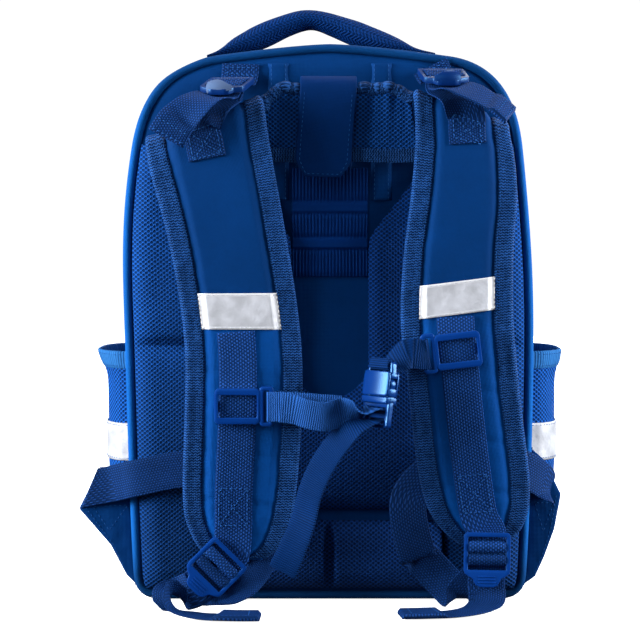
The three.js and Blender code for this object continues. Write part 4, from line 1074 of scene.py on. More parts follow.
def spine_high(v, share, flat):
    ends = ease(min(v, 1 - v) * 22 + 0.12)
    return PAD_HEIGHT * ends * (1 - 0.12 * bell(flat.x, 30) * bell(flat.y - 105, 30))


pad("spine_pad", 46, 176, spine_line, spine_high, 13, SPINE_SHADED_LOOK)


def lumbar_line(v):
    x = mix(-77.4, 77.4, v)
    return Vector((x, 8)), Vector((x, 55))


def lumbar_high(v, share, flat):
    ends = math.sqrt(1 - (1 - clamp((78.5 - abs(flat.x)) / 11)) ** 2)
    seam = 1 - 0.62 * bell(flat.x + 0.5, 3.2)
    return 11.4 * max(ends, 0.15) * seam


pad("lumbar_pad", 36, 120, lumbar_line, lumbar_high, 15, LUMBAR_SHADED_LOOK)

# Sleeves beside the middle, with their edge stitching, and the ribbed ladder
SLEEVE = {"inner": 28, "outer": 42, "low": 274, "high": 367}
sleeve_runs = []
for name, side in (("stay_sleeve_left", -1), ("stay_sleeve_right", 1)):
    def sleeve_spot(u, v, side=side):
        x = side * mix(SLEEVE["inner"], SLEEVE["outer"], u)
        edge = ease(min(u, 1 - u) * 5)
        y = -GAP - 0.2 - 1.5 * edge - 0.5 * math.sin(math.pi * u)
        z = mix(SLEEVE["low"], SLEEVE["high"], v)
        return Vector((x, y + slack(Vector((x, 0, v * 93)), 12, 0.25), z))

    bm = surface(14, 40, sleeve_spot, facing=to_viewer, uv=flat_uv)
    walled(piece(name, bm, [CLOTH_LOOK], [name]), 0.5)
    for u in (0.16, 0.84):
        sleeve_runs.append(sampled(30, lambda v: sleeve_spot(u, v) + PROUD))
stitches("sleeve_stitching", sleeve_runs, 0.26)

LADDER_HALF = 25.5
LADDER_ROWS = [
    (222, 1.6), (226, 3), (238, 3), (240.5, 1.6), (242, 3.8), (247.5, 3.8), (249, 1.6), (252, 3),
    (262, 3), (265, 1.6), (266.5, 3.8), (272, 3.8), (273.5, 1.6), (277, 3), (296, 3),
]


def ladder_spot(u, v):
    x = mix(-LADDER_HALF, LADDER_HALF, u)
    z = mix(LADDER_ROWS[0][0], LADDER_ROWS[-1][0], v)
    rise = straight(LADDER_ROWS, z)
    tape = bell(z - 244.7, 4) + bell(z - 269.2, 4)
    rib = 0.45 * math.cos(2 * math.pi * x / 2.3) * (1 - clamp(tape * 1.6))
    return Vector((x, -rise - rib * ease(rise - 1), z))


ladder_bm = surface(176, 96, ladder_spot, facing=to_viewer, uv=flat_uv)
walled(piece("ladder_panel", ladder_bm, [LADDER_SHADED_LOOK], ["ladder_panel"]), 1.2)

# Yoke: lower and upper edge over x
YOKE = {"back": -12.8, "front": -21.8, "low": 301}
YOKE_LOW = [(-119, 286), (-80, 301), (80, 301), (117, 294)]
YOKE_TOP = [
    (-119, 300.3), (-45.8, 328), (-43.6, 344), (-34, 352), (40, 352), (46, 351), (54.6, 345),
    (56.4, 332), (117, 309.5),
]


def gather(x):
    """Uneven tucks of the gathered upper edge."""
    return math.sin(x / 2.7) + 0.6 * math.sin(x / 1.23 + 1)


def yoke_spot(u, v):
    x = mix(YOKE_LOW[0][0], YOKE_LOW[-1][0], v)
    share, on_front = pad_share(u)
    low = straight(YOKE_LOW, x)
    top = straight(YOKE_TOP, x)
    z = mix(low, top - 1.5, share) + gather(x) * 0.7 * share ** 3
    if not on_front:
        return Vector((x, YOKE["back"], z))
    rise = 9 * pad_rise(share, top - low, 7) + gather(x) * 0.8 * share ** 2
    return Vector((x, max(YOKE["back"] - rise, YOKE["front"] - 0.6), z))


yoke_bm = surface(30, 160, yoke_spot, ring=True, capped=True, uv=flat_uv)
piece("yoke", yoke_bm, [MESH_LOOK], ["yoke"])


EDGING_RADIUS = 4.2


def yoke_edging(name, low, high):
    """Gathered tape along the upper edge of the yoke."""
    def spot(x):
        tuck = 0.6 * gather(x)
        return Vector((x, YOKE["front"] + 2.4 - tuck, straight(YOKE_TOP, x) - 2.6 + tuck))

    line = evenly(sampled(60, spot, low, high), 90)
    piece(name, tube(line, EDGING_RADIUS, 18), [TAPE_LOOK])


yoke_edging("yoke_edging_left", -44.6, -20)
yoke_edging("yoke_edging_right", 19, 55)

YOKE_TAPE_ROWS = [
    (x, YOKE["front"] - 1.1, 304.6 + 0.4 * math.sin(x / 9), 0, 0, 1) for x in range(-78, 79, 12)
]
tape_bm = band(YOKE_TAPE_ROWS, 9.4, 1.3, 3)
piece("yoke_binding", tape_bm, [YOKE_TAPE_LOOK], ["yoke_binding"])

FLAP_WIDTH = 38
FLAP_ROWS = [
    (-4.5, -10.5, 297, 1, 0, 0.04), (-3, -10.5, 315, 1, 0, 0.04), (-1.5, -10.8, 345, 1, 0, 0.04),
    (-1, -12.6, 354, 1, 0, 0.02), (-1, -17.6, 357, 1, 0, 0), (-1, -23.4, 353, 1, 0, -0.04),
    (-1.6, -25.6, 340, 1, 0, -0.06), (-3.4, -26, 318, 1, 0, -0.06), (-4.6, -26.6, 301, 1, 0, -0.06),
    (-5, -27, 290, 1, 0, -0.06),
]


def flap_width(t):
    return mix(1, 0.6, clamp((t - 8 / 9) * 9))


flap_bm = band(FLAP_ROWS, FLAP_WIDTH, 1.8, 8, flap_width, None, 0.35)
piece("yoke_flap", flap_bm, [TONGUE_SHADED_LOOK], ["yoke_flap"])


def flap_mark(t, across, out=1.05):
    middle, _, side, away = frame_at(FLAP_ROWS, t, PACE)
    return middle + side * (across * FLAP_WIDTH / 2 * flap_width(t)) + away * out


FLAP_SEAM = {"top": 0.62, "foot": 0.97, "edge": 0.84}
flap_runs = [
    sampled(30, lambda t: flap_mark(t, edge), FLAP_SEAM["top"], FLAP_SEAM["foot"])
    for edge in (-FLAP_SEAM["edge"], FLAP_SEAM["edge"])
]
flap_foot = sampled(10, lambda x: flap_mark(FLAP_SEAM["foot"], x), -FLAP_SEAM["edge"], FLAP_SEAM["edge"])
flap_runs.append(flap_foot)
stitches("flap_stitching", flap_runs)

# Shoulder straps: outer edge x, z and inner edge x, z of the middle layer, and its depth
YOKE_MID = (YOKE["back"] + YOKE["front"]) / 2
Strap = namedtuple("Strap", "side web rows")
STRAPS = {
    "left": Strap(-1, 0.45, [
        (-120.8, 301, -47, 329.4, YOKE_MID), (-121.4, 308.5, -46.4, 337, -19),
        (-121.6, 313.5, -45.6, 342, -28), (-121, 309, -44, 337, -37),
        (-117.8, 293, -40.6, 314, -42.5), (-110.4, 265, -33.2, 273, -46),
        (-104.8, 238, -27.8, 242, -47.5), (-100, 208, -22.4, 208, -48),
        (-96.8, 175, -19, 175, -48), (-96.8, 142, -18.4, 142, -47.4),
        (-98, 110, -20.2, 110, -45.5), (-98.8, 82, -22.4, 82, -42.4),
        (-97.4, 62, -25.4, 62, -39.4), (-91, 45, -31.4, 45, -36.4),
        (-82, 33, -43.4, 33, -33.6),
    ]),
    "right": Strap(1, 0.52, [
        (119, 310.4, 56.6, 333.6, YOKE_MID), (119.4, 318, 56, 341, -19),
        (119.8, 323, 55.8, 346, -28), (121, 318.4, 56, 340.4, -37),
        (124.8, 299, 56.6, 312, -42.5), (125.8, 275, 53.4, 276, -46),
        (123.2, 248, 49.4, 244, -47.5), (122, 221, 47, 211, -48),
        (122.2, 194, 47.4, 185, -48), (124.2, 168, 51, 160, -47.6),
        (127, 141, 53.8, 134, -46.6), (130.4, 115, 56.6, 109, -44.6),
        (133.2, 92, 60.4, 86, -41.8), (133.8, 72, 66, 67, -39),
        (129.4, 55, 75.4, 53, -36), (119, 43.4, 88.4, 42, -33.4),
    ]),
}


def layer(strap, t, u):
    ox, oz, ix, iz, y = between(strap.rows, t)
    return Vector((mix(ox, ix, u), y, mix(oz, iz, u)))


def over(strap, t):
    """From the outer edge of a strap to its inner edge."""
    return layer(strap, t, 1) - layer(strap, t, 0)


def strap_facing(strap, t):
    step = 0.004
    along = layer(strap, min(t + step, 1), 0.5) - layer(strap, max(t - step, 0), 0.5)
    return along.cross(over(strap, t)).normalized() * -strap.side


def breadth(strap, t):
    return over(strap, t).length


def padding(strap, t, u):
    """Half thickness of a strap: thin under the edge tapes, full between them."""
    wide = breadth(strap, t)
    taper = clamp((1.06 - t) * 5, 0.3, 1)
    edge = min(BINDING_WIDTH + 0.4, 0.32 * wide)
    full = min(BINDING_WIDTH + 5, 0.45 * wide)
    rise = ease((min(u, 1 - u) * wide - edge) / (full - edge))
    return STRAP_EDGE + (STRAP_HALF - STRAP_EDGE) * taper * rise


def on_strap(strap, t, u, lift):
    """A point on the front of a strap's padding."""
    return layer(strap, t, u) + strap_facing(strap, t) * (padding(strap, t, u) + lift)


# Heights of the shallow cross creases in the lower straps
STRAP_CREASES = {"left": (160, 107, 74), "right": (150, 116, 82)}


def strap_core(name):
    strap = STRAPS[name]

    def spot(u, v):
        margin = min((BINDING + 2 * GAP) / breadth(strap, v), 0.05)
        round_share = 2 * u if u <= 0.5 else 2 - 2 * u
        across = mix(margin, 1 - margin, round_share)
        sign = 1 if u < 0.5 and 0 < u else -1
        if u in (0, 0.5, 1):
            sign = 0
        point = layer(strap, v, across)
        give = slack(point, 32, 0.5) * ease(min(across, 1 - across) * 5)
        beside = min(across, 1 - across) * breadth(strap, v) - BINDING_WIDTH
        tuck = slack(Vector((90 * (across > 0.5), strap.side * 40, v * 330)), 6.5, 0.45)
        give += tuck * bell(max(beside, 0), 7) * ease((beside + 4) / 5)
        lean = (across - strap.web) * strap.side * 9
        crease = sum(bell(point.z - z - lean, 2.4) for z in STRAP_CREASES[name])
        give -= 0.6 * max(sign, 0) * crease * ease((beside + 1) / 4)
        return point + strap_facing(strap, v) * (sign * padding(strap, v, across) + give)

    bm = surface(56, 190, spot, ring=True, capped=True, tone=lambda u, v: 0 if u < 0.5 else 1)
    made = piece("strap_" + name, bm, [STRAP_LIT_FOOT_LOOK, MESH_LOOK], ["strap_" + name])


# Section of the folded edge tape: distance in from the edge, height over the middle layer
TAPE_SECTION = [
    (13, 2.4), (13, 2.9), (12.3, 3.2), (10.6, 3.5), (8.6, 3.3), (6.6, 3), (4.6, 3.4), (2.6, 3.6),
    (1.2, 3.1), (0.3, 2), (0, 0.7), (0, -0.7), (0.3, -2), (1.2, -3.1), (2.4, -3.4), (6, -3.55),
    (10.5, -3.5), (13, -3.3), (13, -2.4), (6, -2.4), (1.4, -2), (1, 0), (1.4, 2), (6, 2.4),
]


# Its line of stitches, as in the section
TAPE_SEAM = (11.6, 3.5)


def tape_point(strap, t, edge, inward, up):
    """A point of an edge tape, by its place in the section."""
    reach = min(BINDING_WIDTH, breadth(strap, t) * 0.3) / BINDING_WIDTH
    way = (layer(strap, t, 1 - edge) - layer(strap, t, edge)).normalized()
    return layer(strap, t, edge) + way * (inward * reach) + strap_facing(strap, t) * up


def strap_tape(name, edge):
    strap = STRAPS[name]
    sides = len(TAPE_SECTION)
    first = 0.5 / (len(strap.rows) - 1)

    def spot(u, v):
        inward, up = TAPE_SECTION[round(u * sides) % sides]
        t = mix(first, 1 - first * 0.4, v)
        point = tape_point(strap, t, edge, inward, up)
        pucker = slack(point, 6, 0.5) * clamp((12 - inward) / 6)
        return point + strap_facing(strap, t) * (pucker if up > 0 else -pucker)

    node = "strap_" + name + ("_binding_outer", "_binding_inner")[edge]
    bm = surface(sides, 190, spot, ring=True, capped=True)
    piece(node, bm, [TAPE_LOOK], [node])
    return [sampled(150, lambda t: tape_point(strap, t, edge, *TAPE_SEAM), first, 0.985)]


def share_at(strap, u, z):
    """Where a strap's share u comes down to height z."""
    low, high = 0.3, 1.0
    for _ in range(40):
        middle = (low + high) / 2
        if layer(strap, middle, u).z > z:
            low = middle
        else:
            high = middle
    return low


REFLECTORS = {"left": (213, 189), "right": (221, 199)}


def reflector(name):
    """Silver film across a strap, its white border, sewn down along both long edges."""
    strap = STRAPS[name]
    start, end = (share_at(strap, 0.5, z) for z in REFLECTORS[name])
    margin = (BINDING_WIDTH - 0.6) / breadth(strap, start)

    def spot(u, v):
        across = mix(margin, 1 - margin, u)
        lift = 2 * GAP + 0.7 + slack(Vector((u * 60, v * 24, strap.side * 50)), 9, 0.35)
        return on_strap(strap, mix(start, end, v), across, lift)

    def tone(u, v):
        inside = 0.035 < u < 0.965 and 0.09 < v < 0.91
        return 0 if inside else 1

    node = "strap_" + name + "_reflector"
    bm = surface(60, 24, spot, facing=to_viewer, tone=tone)
    walled(piece(node, bm, [SILVER_LOOK, BORDER_LOOK], [node]), FILM)
    proud = strap_facing(strap, start) * 0.15
    return [sampled(20, lambda u: spot(u, v) + proud) for v in (0.05, 0.95)]


# Seats of the moulded pieces: middle, way along, way across and way out
Seat = namedtuple("Seat", "middle a b c")
LOCK_BACK = {"low": -2.0, "high": 2.0, "rung": 0.55}
FIXED_LOOP = [(16, -3.4), (12.6, -3.5), (9.8, -1.8), (8.9, 1), (5.75, 2.6), (2.6, 1), (3.4, -2)]
SLIDING_LOOP = [
    (-9, -8), (-3.6, -5.6), (-0.7, -2.4), (0.3, 1), (-2.75, 2.6), (-5.8, 1), (-7.4, -2.2),
    (-12, -4), (-20, -4.4),
]


def lock_seat(middle, up, across):
    a = Vector(up).normalized()
    b = Vector(across)
    b = (b - a * b.dot(a)).normalized()
    c = a.cross(b).normalized()
    if c.y > 0.3 or c.z < -0.5:
        c = -c
    return Seat(Vector(middle), a, b, c)


def seated(seat):
    """The matrix that takes a moulded piece to its seat."""
    handed = 1 if seat.b.cross(seat.a).dot(seat.c) > 0 else -1
    columns = Matrix((seat.b * handed, seat.a, seat.c)).transposed().to_4x4()
    return Matrix.Translation(seat.middle) @ columns


def in_seat(seat, loop):
    rows = []
    for along, out in loop:
        point = seat.middle + seat.a * along + seat.c * out
        rows.append((*point, *seat.b))
    return rows


# Ladder lock: height along it and half width; every second cell between the rungs is open
LOCK_ROWS = [
    (-21, 4.6), (-19.6, 7.4), (-15.4, 9.4), (-13.6, 12.8), (-12, 14.8), (-9.5, 15.6), (-4.5, 15.6),
    (-1, 15.6), (4, 15.6), (7.5, 15.6), (12.5, 15.6), (14.2, 15.4), (15.5, 14),
]
LOCK_COLUMNS = (-1, -0.827, -0.78, -0.4, 0, 0.4, 0.78, 0.827, 1)
LOCK_OPEN_ROWS = (5, 7, 9)


def lock_lip(way):
    """The arched finger lip at the end of a lifter's lock, drawn out to a beak on one side."""
    def spot(u, v):
        start = math.sqrt(1 - (1 - min(u / 0.4, 1)) ** 2)
        tall = mix(0.35, 1, start) * mix(1, 0.3, ease((u - 0.4) / 0.6))
        turn = math.radians(24 + (v - 0.5) * 104 * tall)
        x = way * mix(-8.4, 9.4, u)
        bow = 1.6 * (2 * u - 1) ** 2
        y = -15.4 - 5.6 * math.cos(turn) + bow
        return Vector((x, y, 1.2 + 6.8 * math.sin(turn) - 0.8 * bow))

    bm = surface(24, 18, spot, facing=lambda p: Vector((0, -1, 0.4)))
    bmesh.ops.solidify(bm, geom=bm.faces[:], thickness=1.4)
    for face in bm.faces:
        face.material_index = 1
    return bm


def ladder_lock(name, seat, looks=(PLASTIC_LOOK,), beak=0):
    def is_open(i, j):
        return j in LOCK_OPEN_ROWS and 1 <= i <= 6

    bm = pierced(LOCK_COLUMNS, LOCK_ROWS, is_open, LOCK_BACK["low"], LOCK_BACK["high"], 0.55)
    for vert in bm.verts:
        if -5 < vert.co.y < 8 and abs(vert.co.x) < 12.4:
            vert.co.z *= LOCK_BACK["rung"]
    grip = [block((-6, y - 0.5, 1.6), (6, y + 0.5, 2.5), 0.35) for y in (-18, -16, -14)]
    lip = [lock_lip(beak)] if beak else []
    piece(name, join([bm, *grip, *lip]), list(looks), [name], 40, seated(seat))


LOCKS = {
    "left": lock_seat((-77, -48, 28.5), (0.7, 0.12, 0.7), (0.7, 0, -0.7)),
    "right": lock_seat((105, -48, 37), (0.02, 0.14, 0.99), (-1, 0, 0.02)),
}
SLIDERS = {"left": (138.7, 1, 57), "right": (175.6, -1, 66)}
SLIDER = {"half": 15.2, "window": 12.9, "rise": 3.1, "tall": 12, "slot": 7.5}


def web_point(name, t):
    strap = STRAPS[name]
    z = layer(strap, t, strap.web).z
    rise = SLIDER["rise"] * math.exp(-(((z - SLIDERS[name][0]) / 14) ** 4))
    return on_strap(strap, t, strap.web, 1.5 * GAP + WEBBING / 2 + rise)


def web_row(name, t):
    strap = STRAPS[name]
    across = over(strap, t).normalized()
    if across.dot(LOCKS[name].b) < 0:
        across = -across
    return (*web_point(name, t), *across)


def strap_webbing(name):
    strap = STRAPS[name]
    height, _, end = SLIDERS[name]
    start = REFLECTORS[name][1] - 1.5
    above = [start]
    if start - height > 30:
        above = [start, mix(start, height + 17, 0.5), height + 17]
    heights = above + [height + 11, height + 4, height - 4, height - 11, height - 17]
    heights += [mix(height - 17, end, f) for f in (0.33, 0.66, 1)]
    rows = [web_row(name, share_at(strap, strap.web, z)) for z in heights]
    node = "strap_" + name + "_webbing"
    bm = band(rows + in_seat(LOCKS[name], FIXED_LOOP), WEBBING_WIDTH, WEBBING)
    piece(node, bm, [WEB_LOOK], [node])


def web_mark(name, z, across):
    strap = STRAPS[name]
    t = share_at(strap, strap.web, z)
    side = over(strap, t).normalized()
    return web_point(name, t) + side * across + strap_facing(strap, t) * (WEBBING / 2 + 0.12)


def crossed_box(mark, low, high, half):
    """A sewn rectangle with its diagonals, from mark(height, across)."""
    def line(start, end):
        return sampled(12, lambda f: mark(mix(start[0], end[0], f), mix(start[1], end[1], f)))

    corners = [(low, -half), (low, half), (high, half), (high, -half)]
    sides = [line(a, b) for a, b in zip(corners, corners[1:] + corners[:1])]
    return sides + [line(corners[0], corners[2]), line(corners[1], corners[3])]


for name in ("left", "right"):
    strap_core(name)
    stitches("strap_" + name + "_stitching", strap_tape(name, 0) + strap_tape(name, 1))
    stitches("strap_" + name + "_film_stitching", reflector(name), look=PALE_THREAD_LOOK)
    strap_webbing(name)
    ladder_lock("lock_" + name, LOCKS[name])
    end = SLIDERS[name][2]
    box = crossed_box(lambda z, x, name=name: web_mark(name, z, x), end + 1, end + 26, 9.5)
    stitches("strap_" + name + "_box_stitching", box, 0.36, LIGHT_THREAD_LOOK)

# Wings in the side seams: inner and outer edge, as height and x, and their sewn triangle
WINGS = {
    "left": (
        [(9, -132.7), (17, -134.4), (40, -135.6), (92, -137.5)],
        [(9, -132.8), (16, -140), (37, -151), (62, -172.6), (91, -158), (92, -137.6)],
        [(-163, 63.5), (-139, 64.5), (-152, 47)],
    ),
    "right": (
        [(9, 132.7), (17, 134.4), (40, 135.6), (104, 137.9)],
        [(9, 132.8), (15, 141.4), (28.6, 147.6), (48, 154.6), (72, 159), (96, 147), (104, 138)],
        [(154, 66), (141, 66), (147, 46)],
    ),
}


def wing(name):
    inner, outer, corners = WINGS[name]
    node = "wing_" + name

    def skin(x, z, u):
        full = 0.5 * (1 - (2 * u - 1) ** 4)
        full += slack(Vector((x, 0, z)), 9, 0.5) * math.sin(math.pi * u)
        return Vector((x, 6.9 - full, z))

    def spot(u, v):
        z = mix(inner[0][0], inner[-1][0], v)
        return skin(mix(straight(inner, z), straight(outer, z), u), z, u)

    bm = surface(16, 60, spot, facing=to_viewer, uv=flat_uv)
    walled(piece(node, bm, [CLOTH_LOOK], [node]), 1.5)
    runs = []
    for (x0, z0), (x1, z1) in zip(corners, corners[1:] + corners[:1]):
        runs.append(sampled(12, lambda f: skin(mix(x0, x1, f), mix(z0, z1, f), 0.5) + PROUD))
    runs.append(sampled(30, lambda v: spot(0.86, v) + PROUD, 0.12, 0.66))
    stitches(node + "_stitching", runs)


wing("left")
wing("right")

# Lower webbing from the wings, behind the straps, through the locks and on to the tails
LOWER_ROWS = {
    "left": (
        [
            (-165.4, 4.6, 76.2, 0.25, 0, -0.97), (-151, 1, 79.4, 0.2, 0, -0.98),
            (-143, -6.4, 82, 0.1, 0, -1), (-131, -15, 85.6, 0, 0, -1), (-95, -21, 92, -0.05, 0, -1),
            (-72, -22, 80, -0.55, 0, -0.83), (-52, -23, 56, -0.85, 0, -0.5),
            (-45, -30, 34, -0.98, 0, -0.1), (-53, -44, 18.4, -0.75, 0.35, 0.5),
            (-63, -47, 11.8, -0.6, 0.6, 0.5), (-71, -46, 9.4, 0.3, 0.8, 0.45),
            (-79, -40.5, 11.6, 0.6, 0.3, 0.7), (-84, -38.5, 15, 0.94, 0, 0.2),
        ],
        [
            (-98, -46.5, 12.4, 0.7, -0.1, -0.7), (-105, -52, 13, 0.45, -0.75, -0.4),
            (-107, -60, 11.4, 0.1, -1, -0.05), (-102, -70, 4.4, 0, -1, 0),
            (-87, -78, 1.5, 0.1, -1, 0), (-67, -83, 1.2, 0, -1, 0), (-46, -84, 1.2, 0, -1, 0),
        ],
    ),
    "right": (
        [
            (151.5, 4.2, 70, -0.3, 0, 0.95), (148, 0, 80, 0, 0, 1), (140, -9, 87, 0, 0, 1),
            (128, -16, 93, 0, 0, 1), (101, -20, 99, 0, 0, 1), (86, -21, 99, -0.3, 0, 0.95),
            (69, -21.6, 91, -0.7, 0, 0.7), (54, -22.4, 74, -0.95, 0, 0.3),
            (53.6, -24.4, 56, -0.98, 0, -0.15), (59, -27.4, 35, -0.95, 0, -0.3),
            (60, -25, 32, -0.95, 0, -0.3), (62, -21.4, 32, -0.92, 0, -0.38),
            (71, -20.6, 22, -0.75, 0, -0.65), (80, -23.6, 13, -0.78, 0, -0.62),
            (87, -28.6, 6.8, -1, 0, -0.1), (92, -34, 11.5, -0.88, 0, 0.4), (99, -38, 20, -0.95, 0, 0.25),
        ],
        [
            (105, -49, 10, -1, 0, 0), (103, -55, 5.5, -0.9, 0.4, 0), (95, -63, 2.6, -0.6, 0.8, 0),
            (80, -70, 1.3, -0.3, 0.95, 0), (62, -74, 1.2, -0.1, 1, 0), (46, -76, 1.2, 0, 1, 0),
        ],
    ),
}


def tail_thickness(rows, length=29):
    """Thickness along a band whose end is folded back on itself and sewn."""
    steps = 200
    run = running(sampled(steps, lambda t: Vector(between(rows, t)[:3])))

    def thick(t):
        rest = run[-1] - run[round(clamp(t) * steps)]
        return 1 + 2.2 * ease((length - rest) / 2) * ease(0.3 + rest / 2)

    return thick


def end_runs(rows, width, out, first=0.955, last=0.985):
    """Two rows of stitches across the folded end of a band."""
    runs = []
    for t in (first, last):
        middle, _, across, away = frame_at(rows, t, PACE)
        rise = away * (out if away.dot(TO_VIEW) > 0 else -out)
        runs.append(sampled(8, lambda x: middle + across * (width * x) + rise, -0.44, 0.44))
    return runs


for name in ("left", "right"):
    before, after = LOWER_ROWS[name]
    rows = before + in_seat(LOCKS[name], SLIDING_LOOP) + after
    node = "lower_webbing_" + name
    slant = -0.74 if name == "left" else 0.0
    folded = (lambda v: 1 - 0.4 * bell(v - 0.3, 0.07)) if name == "left" else None
    bm = band(rows, WEBBING_WIDTH, WEBBING, 7, folded, tail_thickness(rows), 0.0, slant)
    for vert in bm.verts:
        vert.co.z = max(vert.co.z, FLOOR_CLEARANCE)
    piece(node, bm, [LOWER_WEB_LOOK], [node])
    stitches(node + "_stitching", end_runs(rows, WEBBING_WIDTH, 3.3), look=LIGHT_THREAD_LOOK)

# Load lifters: lock seat, anchor rows, place sewn to the strap, rise to the lock, tail
LIFTERS = {
    "left": {
        "lock": lock_seat((-69.5, -27.5, 351.5), (0.25, 0.93, 0.25), (0.97, -0.25, 0)),
        "anchor": [
            (-60.7, -1.4, 366.6, 1, 0, 0), (-61, -2.2, 360, 1, 0, 0), (-62.4, -6, 354, 1, -0.1, 0),
        ],
        # The left lip takes the painted highlight
        "lip": PAINTED_HIGHLIGHT_LOOK,
        "sewn": (0.47, 302.5, 321),
        "rise": [(-79, -45, 333.5, 0.96, -0.16, 0.2)],
        "tail": [
            (-82, -51, 343, 0.6, -0.7, -0.3), (-91, -55, 337, 0.75, -0.5, -0.4),
            (-101, -55.5, 327, 0.93, -0.15, -0.25), (-108, -55.4, 315.6, 0.99, 0, 0.1),
        ],
    },
    "right": {
        "lock": lock_seat((76, -27.5, 357.5), (-0.12, 0.95, 0.24), (0.99, 0.12, 0)),
        "anchor": [
            (68, -1.8, 365, 1, 0, 0.2), (70.6, -2.8, 360, 1, 0, 0.2), (73, -6, 356.4, 1, 0.05, 0.1),
        ],
        "lip": LIFTER_PLASTIC_LOOK,
        "sewn": (0.485, 312, 328),
        "rise": [(85, -44.6, 340.5, 0.96, 0.12, -0.18)],
        "tail": [
            (87, -51, 349, 0.65, 0.72, 0.25), (98, -53.4, 345, 0.35, 0.85, 0.4),
            (109.4, -53.6, 338, 0.25, 0.86, 0.42), (119.6, -54, 329.4, 0.25, 0.86, 0.42),
        ],
    },
}


def share_on_front(strap, u, z):
    """Where the front of a strap, below its fold, comes down to height z."""
    start = 2.5 / (len(strap.rows) - 1)
    return next(t for t in sampled(90, lambda t: t, start, 0.5) if layer(strap, t, u).z <= z)


for name in ("left", "right"):
    lifter = LIFTERS[name]
    strap = STRAPS[name]
    node = "lifter_" + name
    held = lifter["anchor"] + in_seat(lifter["lock"], FIXED_LOOP)
    bm = band(held, WEBBING_WIDTH, WEBBING)
    piece(node + "_anchor", bm, [LIFTER_WEB_LOOK], [node + "_anchor"])
    ladder_lock(node + "_lock", lifter["lock"], (LIFTER_PLASTIC_LOOK, lifter["lip"]), -strap.side)
    u, low, top = lifter["sewn"]
    sewn = []
    for f in (0, 0.5, 1):
        t = share_on_front(strap, u, mix(low, top, f))
        point = on_strap(strap, t, u, mix(GAP, 2.6, f * f) + WEBBING / 2)
        across = over(strap, t).normalized() * -strap.side
        sewn.append((*point, *across))
    rows = sewn + lifter["rise"] + in_seat(lifter["lock"], SLIDING_LOOP) + lifter["tail"]
    bm = band(rows, WEBBING_WIDTH, WEBBING, 7, None, tail_thickness(rows, 16))
    piece(node + "_webbing", bm, [LIFTER_WEB_LOOK], [node + "_webbing"])

    def sewn_mark(z, across, u=u, strap=strap):
        t = share_on_front(strap, u, z)
        side = over(strap, t).normalized()
        lift = mix(GAP, 2.6, clamp((z - low) / (top - low)) ** 2) + WEBBING + 0.15
        return on_strap(strap, t, u, lift) + side * across

    runs = crossed_box(sewn_mark, low + 1, top - 1, 9.5)
    runs += end_runs(rows, WEBBING_WIDTH, 3.3, 0.955, 0.985)
    for t in (0.05, 0.12):
        middle, _, across, _ = frame_at(held, t, PACE)
        runs.append(sampled(8, lambda x: middle + across * x + Vector((0, -0.85, 0)), -10.5, 10.5))
    stitches(node + "_stitching", runs, 0.36, LIGHT_THREAD_LOOK)

# Chest sliders: a frame over the webbing, lugs and a bar behind it, a side loop
LOOP = {
    "near": 14.6, "far": 24, "tall": 13.4, "slot_near": 17.4, "slot_far": 21.2, "slot_tall": 10.6,
}


def slider_seat(name):
    strap = STRAPS[name]
    t = share_at(strap, strap.web, SLIDERS[name][0])
    c = strap_facing(strap, t)
    b = over(strap, t).normalized() * -strap.side
    return Seat(web_point(name, t), c.cross(b).normalized(), b, c)


def chest_slider(name):
    seat = slider_seat(name)
    out = SLIDERS[name][1]
    half, window = SLIDER["half"], SLIDER["window"]
    tall, slot = SLIDER["tall"], SLIDER["slot"]
    back = -SLIDER["rise"] - 0.5
    frame_rows = [
        (-tall, half - 2), (-tall + 2, half), (-slot, half),
        (slot, half), (tall - 2, half), (tall, half - 2),
    ]
    edge = window / half
    face = pierced((-1, -edge, edge, 1), frame_rows, lambda i, j: i == 1 and j == 2, 1.3, 3.6, 0.7)
    lugs = []
    for s in (-1, 1):
        low, high = sorted((s * window, s * half))
        lugs.append(block((low, -3.4, back), (high, 3.4, 2), 0.3))
    bar = block((-half, -1.2, back), (half, 1.6, -1.3), 0.4)
    middle = (LOOP["near"] + LOOP["far"]) / 2
    wide = (LOOP["far"] - LOOP["near"]) / 2
    gap = (LOOP["slot_far"] - LOOP["slot_near"]) / 2 / wide
    tall_loop = LOOP["tall"]
    loop_rows = [
        (-tall_loop, wide - 1.8), (-tall_loop + 1.4, wide), (-LOOP["slot_tall"], wide),
        (LOOP["slot_tall"], wide), (tall_loop - 1.4, wide), (tall_loop, wide - 1.8),
    ]
    loop = pierced((-1, -gap, gap, 1), loop_rows, lambda i, j: i == 1 and j == 2, 0, 3.4, 0.7)
    bmesh.ops.translate(loop, verts=loop.verts, vec=Vector((out * middle, 0, 0)))
    node = "chest_" + name + "_slider"
    piece(node, join([face, *lugs, bar, loop]), [PLASTIC_LOOK], [node], 40, seated(seat))
    return seat


SLIDER_SEATS = {name: chest_slider(name) for name in ("left", "right")}

# Side-release buckle, fastened: its axis runs up from the bar of the male half
BUCKLE = lock_seat((32.5, -67, 147), (0.12, 0.1, 0.98), (0.6, -0.8, 0))


